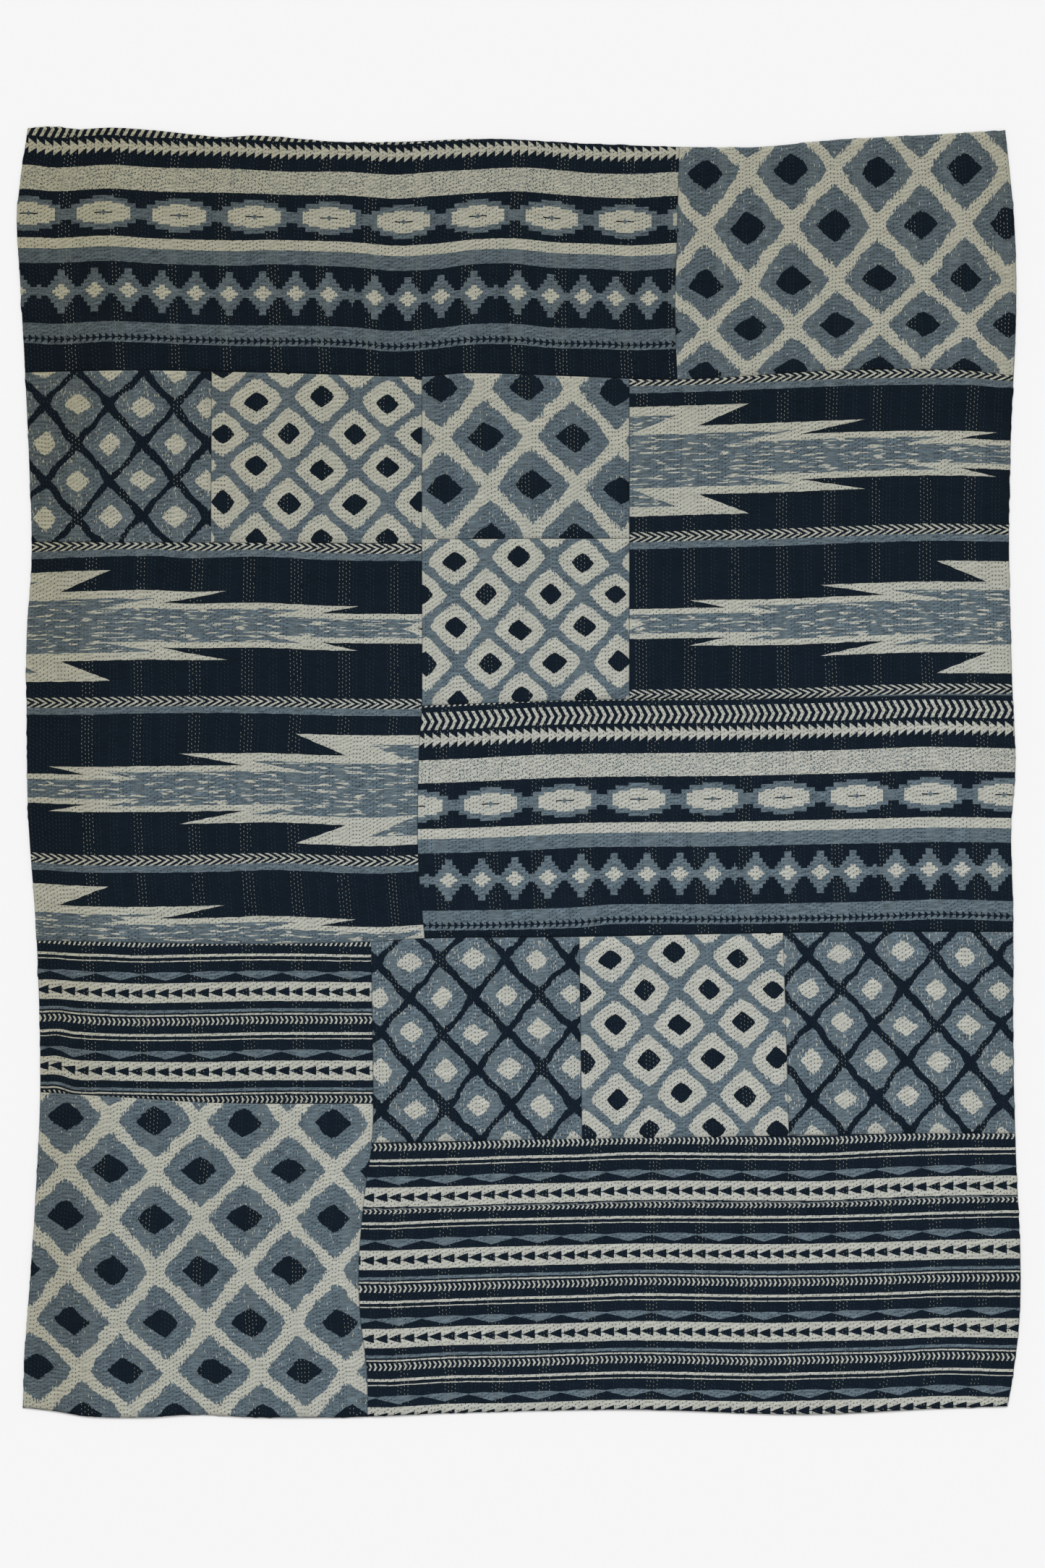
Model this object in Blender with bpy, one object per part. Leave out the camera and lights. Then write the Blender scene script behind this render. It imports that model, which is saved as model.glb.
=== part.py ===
"""Kantha quilt: a pieced cotton throw, quilted by hand and lying flat.

The whole quilt is one closed solid: its patches, lower cloth and stitches are one
sewn body. The underside is flat. The outline wanders as a hand-turned edge does, the
seams between the patches are sunk, and the heavier rows of stitching draw the cloth
down in shallow channels.

Units are metres, +Z is up. +X runs across the quilt and +Y along its length. The
origin is on the underside, at the middle of the outline's box.
"""

import math
import random
from collections import namedtuple

import bmesh
import bpy
from mathutils import Vector

MM = 0.001

# Driving dimensions
WIDTH = 1.403
LENGTH = 1.805
BODY_THICK = 3.6 * MM
COLUMNS = 61
ROWS = 56

# The turned-in edge: the width of its first row of cloth, and its rounded side
RIM_ROW = 9.0 * MM
RIM_TOP_DROP = 0.9 * MM
RIM_TOP_INSET = 1.6 * MM
RIM_MID_HEIGHT = 1.5 * MM
RIM_FOOT_INSET = 1.1 * MM
CORNER_CUT = 4.5 * MM

# Relief of the quilted top
SEAM_SINK = 1.4 * MM
SEAM_SPREAD = 7.0 * MM
CREASE_RISE = 1.2 * MM
CREASE_SPREAD = 9.0 * MM
CHANNEL_SINK = 0.55 * MM
CHANNEL_EVERY = 3
SWELL_RISE = 0.4 * MM
SWELL_WAVES = 7
SWELL_LONGEST = 0.42
SWELL_SHORTEST = 0.11
SNAP_SHARE = 0.48
SEED = 11

COTTON_COLOUR = (0.085, 0.105, 0.112, 1.0)
COTTON_ROUGHNESS = 0.92

# Where the edges lie, in millimetres: how far along the side from its middle, and how
# far inside the box's own side
Wander = namedtuple("Wander", "along inset")

LEFT_EDGE = (
    Wander(-903, 8), Wander(-800, 12), Wander(-720, 18), Wander(-600, 26), Wander(-437, 33),
    Wander(-235, 28), Wander(-60, 16), Wander(90, 14), Wander(190, 14), Wander(300, 21),
    Wander(420, 18), Wander(574, 11), Wander(700, 4), Wander(776, 0), Wander(840, 7),
    Wander(903, 16),
)
RIGHT_EDGE = (
    Wander(-903, 21), Wander(-840, 10), Wander(-760, 1), Wander(-680, 0), Wander(-540, 6),
    Wander(-380, 10), Wander(-200, 10), Wander(-75, 13), Wander(10, 7), Wander(140, 12),
    Wander(330, 16), Wander(480, 13), Wander(640, 6), Wander(760, 8), Wander(850, 16),
    Wander(903, 22),
)
TOP_EDGE = (
    Wander(-702, 4), Wander(-650, 0), Wander(-612, 4), Wander(-573, 1), Wander(-500, 6),
    Wander(-411, 15), Wander(-370, 12), Wander(-230, 22), Wander(-30, 17), Wander(75, 23),
    Wander(320, 29), Wander(437, 19), Wander(600, 10), Wander(702, 4),
)
BOTTOM_EDGE = (
    Wander(-702, 16), Wander(-650, 10), Wander(-600, 2), Wander(-520, 1), Wander(-450, 5),
    Wander(-370, 1), Wander(-210, 2), Wander(-100, 7), Wander(155, 12), Wander(397, 5),
    Wander(600, 14), Wander(702, 17),
)

# The sewn lines, in millimetres: each point is (along, place). A lying seam runs across
# the quilt, so along is x and place is y; an upright one is the other way round.
Seam = namedtuple("Seam", "name lying points")

SEAMS = (
    Seam("under_top_patches", True, (
        (-690, 559), (-533, 562), (-320, 558), (-138, 553), (-73, 558), (69, 554),
        (222, 549), (431, 561), (606, 563), (690, 555),
    )),
    Seam("over_left_flames", True, ((-690, 322), (-430, 321), (-136, 320))),
    Seam("over_small_lozenges", True, ((-136, 326), (155, 327))),
    Seam("over_second_bands", True, ((-136, 91), (18, 97), (155, 101), (690, 99))),
    Seam("across_the_middle", True, (
        (-680, -235), (-400, -240), (-205, -237), (-130, -232), (74, -230), (276, -226),
        (478, -223), (692, -223),
    )),
    Seam("under_fine_stripes", True, ((-668, -447), (-540, -455), (-420, -462), (-203, -463))),
    Seam("over_last_stripes", True, (
        (-203, -518), (51, -513), (263, -510), (539, -505), (692, -505),
    )),
    Seam("beside_top_lozenges", False, ((549, 222), (650, 219), (730, 221), (880, 225))),
    Seam("beside_lattice", False, ((321, -430), (559, -429))),
    Seam("left_of_middle", False, (
        (-234, -131), (-142, -139), (-83, -141), (32, -139), (91, -135), (320, -135),
        (552, -135),
    )),
    Seam("right_of_middle", False, ((100, 155), (552, 155))),
    Seam("beside_stripes", False, (
        (-901, -211), (-834, -212), (-762, -221), (-684, -223), (-598, -216), (-519, -205),
        (-463, -203), (-236, -206),
    )),
    Seam("beside_low_lattice", False, ((-514, 89), (-230, 85))),
    Seam("beside_low_lozenges", False, ((-505, 378), (-390, 375), (-226, 370))),
)
CREASE = Seam("pressed_crease", False, ((-640, -616), (-300, -617), (100, -615), (556, -618)))


def smooth_between(points, at):
    """Returns the place on a smooth line through (along, place) points."""
    if at <= points[0][0]:
        return points[0][1]
    for index in range(len(points) - 1):
        if at <= points[index + 1][0]:
            break
    else:
        return points[-1][1]
    start, end = points[index], points[index + 1]
    before = points[max(index - 1, 0)]
    after = points[min(index + 2, len(points) - 1)]
    span = end[0] - start[0]
    share = (at - start[0]) / span
    slope_in = (end[1] - before[1]) / (end[0] - before[0]) * span
    slope_out = (after[1] - start[1]) / (after[0] - start[0]) * span
    cube, square = share ** 3, share ** 2
    return (
        (2 * cube - 3 * square + 1) * start[1]
        + (cube - 2 * square + share) * slope_in
        + (3 * square - 2 * cube) * end[1]
        + (cube - square) * slope_out
    )


def edge_inset(edge, along):
    """Returns in metres how far an edge lies inside the box's side, at along metres."""
    return smooth_between(edge, along / MM) * MM


def seam_place(seam, along):
    """Returns a sewn line's place in metres, or None past its two ends."""
    at = along / MM
    if not seam.points[0][0] - 1 <= at <= seam.points[-1][0] + 1:
        return None
    return smooth_between(seam.points, at) * MM


def swell_waves():
    """Returns the long soft waves of cloth that has been washed and laid out."""
    rng = random.Random(SEED)
    waves = []
    for _ in range(SWELL_WAVES):
        turn = rng.uniform(0, math.pi)
        wavelength = rng.uniform(SWELL_SHORTEST, SWELL_LONGEST)
        pull = math.tau / wavelength
        waves.append((pull * math.cos(turn), pull * math.sin(turn), rng.uniform(0, math.tau)))
    return waves


def distance_off(seam, x, y):
    """Returns how far a point lies from a sewn line, and None where the line has ended."""
    along, place = (x, y) if seam.lying else (y, x)
    line = seam_place(seam, along)
    return None if line is None else place - line


def relief(x, y, waves):
    """Returns the top's height over the underside, away from the rim."""
    height = BODY_THICK
    for pull_x, pull_y, phase in waves:
        height += SWELL_RISE * math.sin(pull_x * x + pull_y * y + phase) / math.sqrt(SWELL_WAVES)
    sink = 0.0
    for seam in SEAMS:
        off = distance_off(seam, x, y)
        if off is not None:
            sink = max(sink, SEAM_SINK * math.exp(-((off / SEAM_SPREAD) ** 2)))
    off = distance_off(CREASE, x, y)
    if off is not None:
        height += CREASE_RISE * math.exp(-((off / CREASE_SPREAD) ** 2))
    return height - sink


def grid_shares(length, cells):
    """Returns where the grid's lines lie, from 0 to 1, with a narrow row at each end."""
    rim = RIM_ROW / length
    inner = [rim + (1 - 2 * rim) * step / (cells - 2) for step in range(cells - 1)]
    return [0.0, *inner, 1.0]


def plan_point(share_x, share_y):
    """Returns a grid point's place in plan, carried by the four wandering edges."""
    x_box = (share_x - 0.5) * WIDTH
    y_box = (share_y - 0.5) * LENGTH
    left = -WIDTH / 2 + edge_inset(LEFT_EDGE, y_box)
    right = WIDTH / 2 - edge_inset(RIGHT_EDGE, y_box)
    bottom = -LENGTH / 2 + edge_inset(BOTTOM_EDGE, x_box)
    top = LENGTH / 2 - edge_inset(TOP_EDGE, x_box)
    x = left + (right - left) * share_x
    y = bottom + (top - bottom) * share_y
    if share_x in (0.0, 1.0) and share_y in (0.0, 1.0):
        x += CORNER_CUT if share_x == 0.0 else -CORNER_CUT
        y += CORNER_CUT if share_y == 0.0 else -CORNER_CUT
    return x, y


def drawn_to_seams(x, y):
    """Moves a point that lies near a sewn line onto it, so that the line stays crisp."""
    reach_x = SNAP_SHARE * WIDTH / COLUMNS
    reach_y = SNAP_SHARE * LENGTH / ROWS
    for seam in (*SEAMS, CREASE):
        off = distance_off(seam, x, y)
        if off is None:
            continue
        if seam.lying and abs(off) < reach_y:
            y -= off
        elif not seam.lying and abs(off) < reach_x:
            x -= off
    return x, y


def top_grid():
    """Returns the top's points as a list of columns, each a list of vectors."""
    waves = swell_waves()
    shares_x = grid_shares(WIDTH, COLUMNS)
    shares_y = grid_shares(LENGTH, ROWS)
    grid = []
    for column, share_x in enumerate(shares_x):
        line = []
        for row, share_y in enumerate(shares_y):
            x, y = plan_point(share_x, share_y)
            on_rim = column in (0, COLUMNS) or row in (0, ROWS)
            if not on_rim:
                x, y = drawn_to_seams(x, y)
            height = relief(x, y, waves)
            if on_rim:
                height = BODY_THICK - RIM_TOP_DROP
            elif column % CHANNEL_EVERY == 0:
                height -= CHANNEL_SINK
            line.append(Vector((x, y, height)))
        grid.append(line)
    return grid


def rim_loop(grid):
    """Returns the grid's outer indices once round, seen from above anticlockwise."""
    last_column, last_row = len(grid) - 1, len(grid[0]) - 1
    loop = [(column, 0) for column in range(last_column)]
    loop += [(last_column, row) for row in range(last_row)]
    loop += [(column, last_row) for column in range(last_column, 0, -1)]
    loop += [(0, row) for row in range(last_row, 0, -1)]
    return loop


def inset_loop(points, inset, height):
    """Returns a ring of points moved inwards by inset and set at one height."""
    ring = []
    for index, point in enumerate(points):
        run = points[(index + 1) % len(points)] - points[index - 1]
        inwards = Vector((-run.y, run.x, 0)).normalized()
        ring.append(Vector((point.x, point.y, 0)) + inwards * inset + Vector((0, 0, height)))
    return ring


def quilt_mesh():
    """Returns the quilt's closed mesh: the relief, its rounded side and a flat underside."""
    grid = top_grid()
    loop = rim_loop(grid)
    outline = [grid[column][row].copy() for column, row in loop]
    shoulder = inset_loop(outline, RIM_TOP_INSET, BODY_THICK - RIM_TOP_DROP)
    for (column, row), point in zip(loop, shoulder):
        grid[column][row] = point
    side = inset_loop(outline, 0.0, RIM_MID_HEIGHT)
    foot = inset_loop(outline, RIM_FOOT_INSET, 0.0)

    body = bmesh.new()
    top = [[body.verts.new(point) for point in line] for line in grid]
    side_verts = [body.verts.new(point) for point in side]
    foot_verts = [body.verts.new(point) for point in foot]
    for column in range(COLUMNS):
        for row in range(ROWS):
            near, far = top[column], top[column + 1]
            body.faces.new((near[row], far[row], far[row + 1], near[row + 1]))
    top_verts = [top[column][row] for column, row in loop]
    for upper, lower in ((top_verts, side_verts), (side_verts, foot_verts)):
        for index in range(len(loop)):
            after = (index + 1) % len(loop)
            body.faces.new((lower[index], lower[after], upper[after], upper[index]))
    body.faces.new(list(reversed(foot_verts)))
    bmesh.ops.recalc_face_normals(body, faces=body.faces)

    mesh = bpy.data.meshes.new("quilt")
    body.to_mesh(mesh)
    body.free()
    return mesh


def cotton():
    """Returns the quilt's washed indigo and ecru cotton, as one mean colour."""
    material = bpy.data.materials.new("washed_cotton")
    material.use_nodes = True
    shader = material.node_tree.nodes["Principled BSDF"]
    shader.inputs["Base Color"].default_value = COTTON_COLOUR
    shader.inputs["Roughness"].default_value = COTTON_ROUGHNESS
    shader.inputs["Metallic"].default_value = 0.0
    return material


def centred(mesh):
    """Puts the middle of the outline's box over the origin."""
    xs = [vertex.co.x for vertex in mesh.vertices]
    ys = [vertex.co.y for vertex in mesh.vertices]
    middle = Vector(((min(xs) + max(xs)) / 2, (min(ys) + max(ys)) / 2, 0))
    for vertex in mesh.vertices:
        vertex.co -= middle


def build():
    """Clears the scene and builds the quilt."""
    for old in list(bpy.data.objects):
        bpy.data.objects.remove(old)
    mesh = quilt_mesh()
    centred(mesh)
    mesh.materials.append(cotton())
    mesh.shade_smooth()
    quilt = bpy.data.objects.new("quilt", mesh)
    bpy.context.collection.objects.link(quilt)


build()
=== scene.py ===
"""Kantha quilt: the looks of a pieced cotton throw, quilted by hand and lying flat.

Fifteen printed patches lie edge to edge on a plain lower cloth, and upright rows of
running stitch hold the layers together. The sizes are millimetres, turned into metres
where a mesh is made. +X runs across the quilt, +Y along it and +Z out of its top.
"""

import logging
import math
import random
from dataclasses import dataclass, field
from enum import Enum
from typing import Iterable, Sequence, Union

import bpy
import numpy as np
from bpy.types import Material, Mesh, Node, NodeSocket, NodeTree, Object
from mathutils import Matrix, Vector


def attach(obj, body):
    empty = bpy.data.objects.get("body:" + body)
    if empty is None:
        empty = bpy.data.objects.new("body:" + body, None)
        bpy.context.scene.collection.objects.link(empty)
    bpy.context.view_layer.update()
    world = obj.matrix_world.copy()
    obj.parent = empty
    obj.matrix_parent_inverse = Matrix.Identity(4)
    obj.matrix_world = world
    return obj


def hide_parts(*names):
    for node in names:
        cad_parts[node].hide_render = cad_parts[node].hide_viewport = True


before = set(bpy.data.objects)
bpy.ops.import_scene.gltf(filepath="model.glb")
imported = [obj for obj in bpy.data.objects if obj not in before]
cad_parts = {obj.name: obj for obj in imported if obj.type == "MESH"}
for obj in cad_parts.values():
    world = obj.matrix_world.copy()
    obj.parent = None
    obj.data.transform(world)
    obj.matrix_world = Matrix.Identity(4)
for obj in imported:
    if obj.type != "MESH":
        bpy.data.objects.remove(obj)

LOG = logging.getLogger("quilt")

MM = 0.001
NODE = "quilt"
BODY = "root"

# The quilt's box, and the photo's frame around it
WIDTH = 1403.0
LENGTH = 1805.0
VIEW_CENTRE = (5.6, -16.2)
VIEW_HEIGHT = 2191.4

# Layers, from the floor upwards
LOWER_THICK = 1.05
TOP_FROM = 1.12
BODY_THICK = 3.6

# Quilting: the rows stand apart by COLUMN_PITCH, and a row's stitches by STITCH_PITCH
COLUMN_PITCH = 4.85
STITCH_PITCH = 5.8

# The random knots of smooth_noise, and how far beyond the quilt's middle they start
NOISE_KNOTS = 700
NOISE_REACH = 1200

Array = np.ndarray
Pair = tuple[float, float]
Points = Sequence[Pair]
Steps = tuple[float, Points]
Colour = tuple[float, float, float, float]
WHITE: Colour = (1.0, 1.0, 1.0, 1.0)


class Ink(Enum):
    """The three colours of every print, in the order in which they lighten."""

    NAVY = 0
    SLATE = 1
    ECRU = 2


class Thread(Enum):
    """The sewing threads."""

    SLATE = 0
    ECRU = 1
    DARK = 2

    @property
    def socket(self) -> str:
        """Returns the name of the stitches' input that takes this thread's material."""
        return self.name.title() + " Thread"


def linear(hex_colour: str) -> Colour:
    """Turns an sRGB colour into the linear one that a shader takes.

    Args:
        hex_colour: Six hex digits, without a mark before them.

    Returns:
        Red, green, blue and alpha.
    """
    shades = [int(hex_colour[at : at + 2], 16) / 255 for at in (0, 2, 4)]
    red, green, blue = (
        shade / 12.92 if shade <= 0.04045 else ((shade + 0.055) / 1.055) ** 2.4
        for shade in shades
    )
    return (red, green, blue, 1.0)


# Lines on the cloth


@dataclass(frozen=True)
class Line:
    """A smooth line over the cloth, through (along, place) points in millimetres.

    Attributes:
        name: What the line is called in the table of patches.
        points: Where it goes. A lying line has its place on y, an upright one on x.
        sewn: True for a seam between two patches, False for the quilt's own edge.
    """

    name: str
    points: Points
    sewn: bool = True

    def at(self, along: Array) -> Array:
        """Returns the line's place at each along, the same past its ends.

        Args:
            along: Places along the line.

        Returns:
            Places on the other axis.
        """
        knots, places = np.array(self.points, float).T
        last = len(knots) - 1
        along = np.clip(along, knots[0], knots[-1])
        left = np.clip(np.searchsorted(knots, along, side="left") - 1, 0, last - 1)
        right = left + 1
        before, after = np.maximum(left - 1, 0), np.minimum(left + 2, last)
        span = knots[right] - knots[left]
        share = (along - knots[left]) / span
        slope_in = (places[right] - places[before]) / (knots[right] - knots[before]) * span
        slope_out = (places[after] - places[left]) / (knots[after] - knots[left]) * span
        cube, square = share**3, share**2
        return (
            (2 * cube - 3 * square + 1) * places[left]
            + (cube - 2 * square + share) * slope_in
            + (3 * square - 2 * cube) * places[right]
            + (cube - square) * slope_out
        )

    def has(self, along: Array) -> Array:
        """Returns True wherever the line reaches."""
        return (along >= self.points[0][0] - 1) & (along <= self.points[-1][0] + 1)


def edge_line(name: str, side: float, insets: Points) -> Line:
    """Makes one of the quilt's four edges.

    Args:
        name: The edge's name.
        side: Where the box's own side is, on x or on y.
        insets: How far the edge lies inside that side at each along.

    Returns:
        The edge as a line.
    """
    inwards = -math.copysign(1.0, side)
    return Line(name, [(along, side + inwards * inset) for along, inset in insets], sewn=False)


UPRIGHT = {
    line.name: line
    for line in (
        edge_line("left", -WIDTH / 2, (
            (-903, 8), (-800, 12), (-720, 18), (-600, 26), (-437, 33), (-235, 28), (-60, 16),
            (90, 14), (190, 14), (300, 21), (420, 18), (574, 11), (700, 4), (776, 0),
            (840, 7), (903, 16),
        )),
        edge_line("right", WIDTH / 2, (
            (-903, 21), (-840, 10), (-760, 1), (-680, 0), (-540, 6), (-380, 10), (-200, 10),
            (-75, 13), (10, 7), (140, 12), (330, 16), (480, 13), (640, 6), (760, 8),
            (850, 16), (903, 22),
        )),
        Line("beside_top_lozenges", ((549, 222), (650, 219), (730, 221), (880, 225))),
        Line("beside_lattice", ((321, -430), (559, -429))),
        Line("left_of_middle", (
            (-234, -131), (-142, -139), (-83, -141), (32, -139), (91, -135), (320, -135),
            (552, -135),
        )),
        Line("right_of_middle", ((100, 155), (552, 155))),
        Line("beside_stripes", (
            (-901, -211), (-834, -212), (-762, -221), (-684, -223), (-598, -216),
            (-519, -205), (-463, -203), (-236, -206),
        )),
        Line("beside_low_lattice", ((-514, 89), (-230, 85))),
        Line("beside_low_lozenges", ((-505, 378), (-390, 375), (-226, 370))),
    )
}

LYING = {
    line.name: line
    for line in (
        edge_line("top", LENGTH / 2, (
            (-702, 4), (-650, 0), (-612, 4), (-573, 1), (-500, 6), (-411, 15), (-370, 12),
            (-230, 22), (-30, 17), (75, 23), (320, 29), (437, 19), (600, 10), (702, 4),
        )),
        edge_line("bottom", -LENGTH / 2, (
            (-702, 16), (-650, 10), (-600, 2), (-520, 1), (-450, 5), (-370, 1), (-210, 2),
            (-100, 7), (155, 12), (397, 5), (600, 14), (702, 17),
        )),
        Line("under_top_patches", (
            (-690, 559), (-533, 562), (-320, 558), (-138, 553), (-73, 558), (69, 554),
            (222, 549), (431, 561), (606, 563), (690, 555),
        )),
        Line("over_left_flames", ((-690, 322), (-430, 321), (-136, 320))),
        Line("over_small_lozenges", ((-136, 326), (155, 327))),
        Line("over_second_bands", (
            (-136, 93), (18, 99), (155, 102), (367, 103), (468, 105), (569, 107), (690, 107),
        )),
        Line("across_the_middle", (
            (-680, -235), (-400, -240), (-205, -237), (-130, -232), (74, -230), (276, -226),
            (478, -223), (692, -223),
        )),
        Line("under_fine_stripes", ((-668, -447), (-540, -455), (-420, -462), (-203, -463))),
        Line("over_last_stripes", (
            (-203, -518), (51, -513), (263, -510), (539, -505), (692, -505),
        )),
    )
}

CREASE = Line("pressed_crease", ((-640, -616), (-300, -617), (100, -615), (556, -618)))


def smooth_noise(x: Array, y: Array, size: Pair, seed: int) -> Array:
    """Returns soft random values from -1 to 1 over the cloth.

    Args:
        x: Places across, in millimetres.
        y: Places along, in millimetres.
        size: How far apart the random knots are, across and along.
        seed: The same seed gives the same values.

    Returns:
        One value for each place.
    """
    knots = np.random.default_rng(seed).uniform(-1, 1, (NOISE_KNOTS + 1, NOISE_KNOTS + 1))
    across, along = (x + NOISE_REACH) / size[0], (y + NOISE_REACH) / size[1]
    column, row = np.floor(across).astype(int), np.floor(along).astype(int)
    share_x, share_y = across - column, along - row
    share_x = share_x * share_x * (3 - 2 * share_x)
    share_y = share_y * share_y * (3 - 2 * share_y)
    column, row = column % NOISE_KNOTS, row % NOISE_KNOTS
    near = knots[column, row] * (1 - share_x) + knots[column + 1, row] * share_x
    far = knots[column, row + 1] * (1 - share_x) + knots[column + 1, row + 1] * share_x
    return near * (1 - share_y) + far * share_y


def smooth_step(value: Array, start: float, end: float) -> Array:
    """Returns 0 up to the start and 1 from the end on, with a soft ramp between them."""
    share = np.clip((value - start) / (end - start), 0, 1)
    return share * share * (3 - 2 * share)


@dataclass(frozen=True)
class DarkeningAndSideShade:
    """How the light has faded the cloth: least at the top, the left and both sides.

    Attributes:
        top: How much darker the top end is made, from 0 to 1.
        top_from: The y at which that begins, and the y at which it is complete.
        top_curve: Over 1 where it gathers at the end.
        left: How much darker the left half is made.
        left_from: The distance left of the middle at which that begins and is complete.
        sides: How much painted shade darkens the strips along the left and the right side.
        left_side: Where the left strip begins and is complete.
        right_side: The same for the right one.
    """

    top: float = 0.625
    top_from: Pair = (-600.0, 900.0)
    top_curve: float = 2.2
    left: float = 0.3
    left_from: Pair = (0.0, 600.0)
    sides: Pair = (0.34, 0.14)
    left_side: Pair = (540.0, 650.0)
    right_side: Pair = (600.0, 690.0)

    def darkening(self, x: Array, y: Array) -> Array:
        """Returns how far the cloth is darkened at each place, from 0 to 1, painted side shade
        included.

        Args:
            x: Places across the quilt.
            y: Places along it.

        Returns:
            One share for each place.
        """
        high = smooth_step(y, *self.top_from) ** self.top_curve
        left = smooth_step(-x, *self.left_from)
        # Painted shade on the strips along both sides
        strips = self.sides[0] * smooth_step(-x, *self.left_side)
        strips += self.sides[1] * smooth_step(x, *self.right_side)
        return np.clip(self.top * high + self.left * left + strips, 0, 1)


@dataclass
class Relief:
    """The height of the quilt's top over the floor, before the single stitches.

    Attributes:
        thick: The height of the plain cloth.
        seam_sink: How deep a seam lies.
        seam_spread: How far to each side a seam draws the cloth down.
        crease_rise: How high the pressed crease stands.
        crease_spread: How wide it is to each side.
        swell_rise: The height of the soft waves of washed cloth.
        swell_count: How many waves are added up.
        swell_lengths: The shortest and the longest wave, in metres.
        swell_seed: Makes the waves' directions.
        waves: The waves that have been drawn: two pulls and a phase each.
    """

    thick: float = BODY_THICK
    seam_sink: float = 1.4
    seam_spread: float = 7.0
    crease_rise: float = 1.2
    crease_spread: float = 9.0
    swell_rise: float = 0.4
    swell_count: int = 7
    swell_lengths: Pair = (0.11, 0.42)
    swell_seed: int = 11
    waves: list[tuple[float, float, float]] = field(default_factory=list)

    def __post_init__(self) -> None:
        """Draws the soft waves of cloth that has been washed and laid out."""
        rng = random.Random(self.swell_seed)
        for _ in range(self.swell_count):
            turn = rng.uniform(0, math.pi)
            pull = math.tau / rng.uniform(*self.swell_lengths) * MM
            self.waves.append(
                (pull * math.cos(turn), pull * math.sin(turn), rng.uniform(0, math.tau))
            )

    def height(self, x: Array, y: Array) -> Array:
        """Returns the height at each place, with its swells, sunk seams and crease.

        Args:
            x: Places across the quilt.
            y: Places along it.

        Returns:
            The heights, in millimetres.
        """
        height = np.full(x.shape, self.thick)
        for pull_x, pull_y, phase in self.waves:
            wave = np.sin(pull_x * x + pull_y * y + phase)
            height += self.swell_rise / math.sqrt(self.swell_count) * wave
        sink = np.zeros(x.shape)
        for lines, along, place in ((UPRIGHT, y, x), (LYING, x, y)):
            for line in lines.values():
                if line.sewn:
                    off = place - line.at(along)
                    groove = self.seam_sink * np.exp(-((off / self.seam_spread) ** 2))
                    sink = np.maximum(sink, np.where(line.has(along), groove, 0))
        off = x - CREASE.at(y)
        fold = self.crease_rise * np.exp(-((off / self.crease_spread) ** 2))
        return height - sink + np.where(CREASE.has(y), fold, 0)


# Node trees


def add_node(
    tree: NodeTree, kind: str, inputs: dict | None = None, **settings: object
) -> Node:
    """Adds one node, which is the only way in which this script makes them.

    Args:
        tree: The material's or the geometry's node tree.
        kind: The node's type, as in bpy.types.
        inputs: Sockets by name or number, each with a value, a socket or a Field.
        settings: The node's own properties.

    Returns:
        The new node.
    """
    node = tree.nodes.new(kind)
    for name, value in settings.items():
        setattr(node, name, value)
    for key, value in (inputs or {}).items():
        value = value.socket if isinstance(value, Field) else value
        if isinstance(value, NodeSocket):
            tree.links.new(value, node.inputs[key])
        else:
            node.inputs[key].default_value = value
    return node


@dataclass(frozen=True)
class Field:
    """A number that varies over the cloth.

    Attributes:
        tree: The node tree that works it out.
        socket: Where it comes out of that tree.
    """

    tree: NodeTree
    socket: NodeSocket

    def math(self, operation: str, *others: "Number") -> "Field":
        """Returns this field and others put through one math operation.

        Args:
            operation: The operation, as Blender names it.
            others: What else goes into it.

        Returns:
            The result.
        """
        inputs = dict(enumerate((self, *others)))
        node = add_node(self.tree, "ShaderNodeMath", inputs, operation=operation)
        return Field(self.tree, node.outputs[0])

    def __add__(self, other: "Number") -> "Field":
        """Adds."""
        return self.math("ADD", other)

    def __sub__(self, other: "Number") -> "Field":
        """Takes away."""
        return self.math("SUBTRACT", other)

    def __mul__(self, other: "Number") -> "Field":
        """Multiplies."""
        return self.math("MULTIPLY", other)

    def __abs__(self) -> "Field":
        """Drops the sign."""
        return self.math("ABSOLUTE")

    def times_plus(self, factor: "Number", rest: "Number") -> "Field":
        """Returns self * factor + rest."""
        return self.math("MULTIPLY_ADD", factor, rest)

    def under(self, limit: "Number") -> "Field":
        """Returns 1 where this is under the limit and 0 elsewhere."""
        return self.math("LESS_THAN", limit)

    def over(self, limit: "Number") -> "Field":
        """Returns 1 where this is over the limit and 0 elsewhere."""
        return self.math("GREATER_THAN", limit)

    def between(self, low: float, high: float) -> "Field":
        """Returns 1 where this lies from low to high and 0 elsewhere."""
        return abs(self - (low + high) / 2).under((high - low) / 2)

    def either(self, other: "Field") -> "Field":
        """Returns 1 where this mask or the other is 1."""
        return self.math("MAXIMUM", other)

    def without(self, other: "Field") -> "Field":
        """Returns this mask with the other one cut out of it."""
        return self * other.times_plus(-1.0, 1.0)

    def wrap(self, pitch: float) -> "Field":
        """Returns this within its repeat, from 0 to pitch."""
        return self.math("FLOORED_MODULO", pitch)

    def off_centre(self, pitch: float) -> "Field":
        """Returns how far the nearest whole repeat is, from 0 to half the pitch."""
        return self.math("PINGPONG", pitch / 2)

    def share_of(self, pitch: float) -> "Field":
        """Returns how far this is through its repeat, from 0 to 1."""
        return (self * (1 / pitch)).math("FRACT")

    def cell(self, size: float) -> "Field":
        """Returns the number of the cell that this falls in."""
        return (self * (1 / size)).math("FLOOR")

    def staircase(self, first: float, steps: Iterable[Pair]) -> "Field":
        """Makes a field that changes its level in steps.

        Args:
            first: The level before the first step.
            steps: Where each step is, rising, and the level from there on.

        Returns:
            The levels.
        """
        level, made = first, None
        for at, after in steps:
            made = self.over(at).times_plus(after - level, first if made is None else made)
            level = after
        return made


Number = Union[Field, float]


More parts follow.
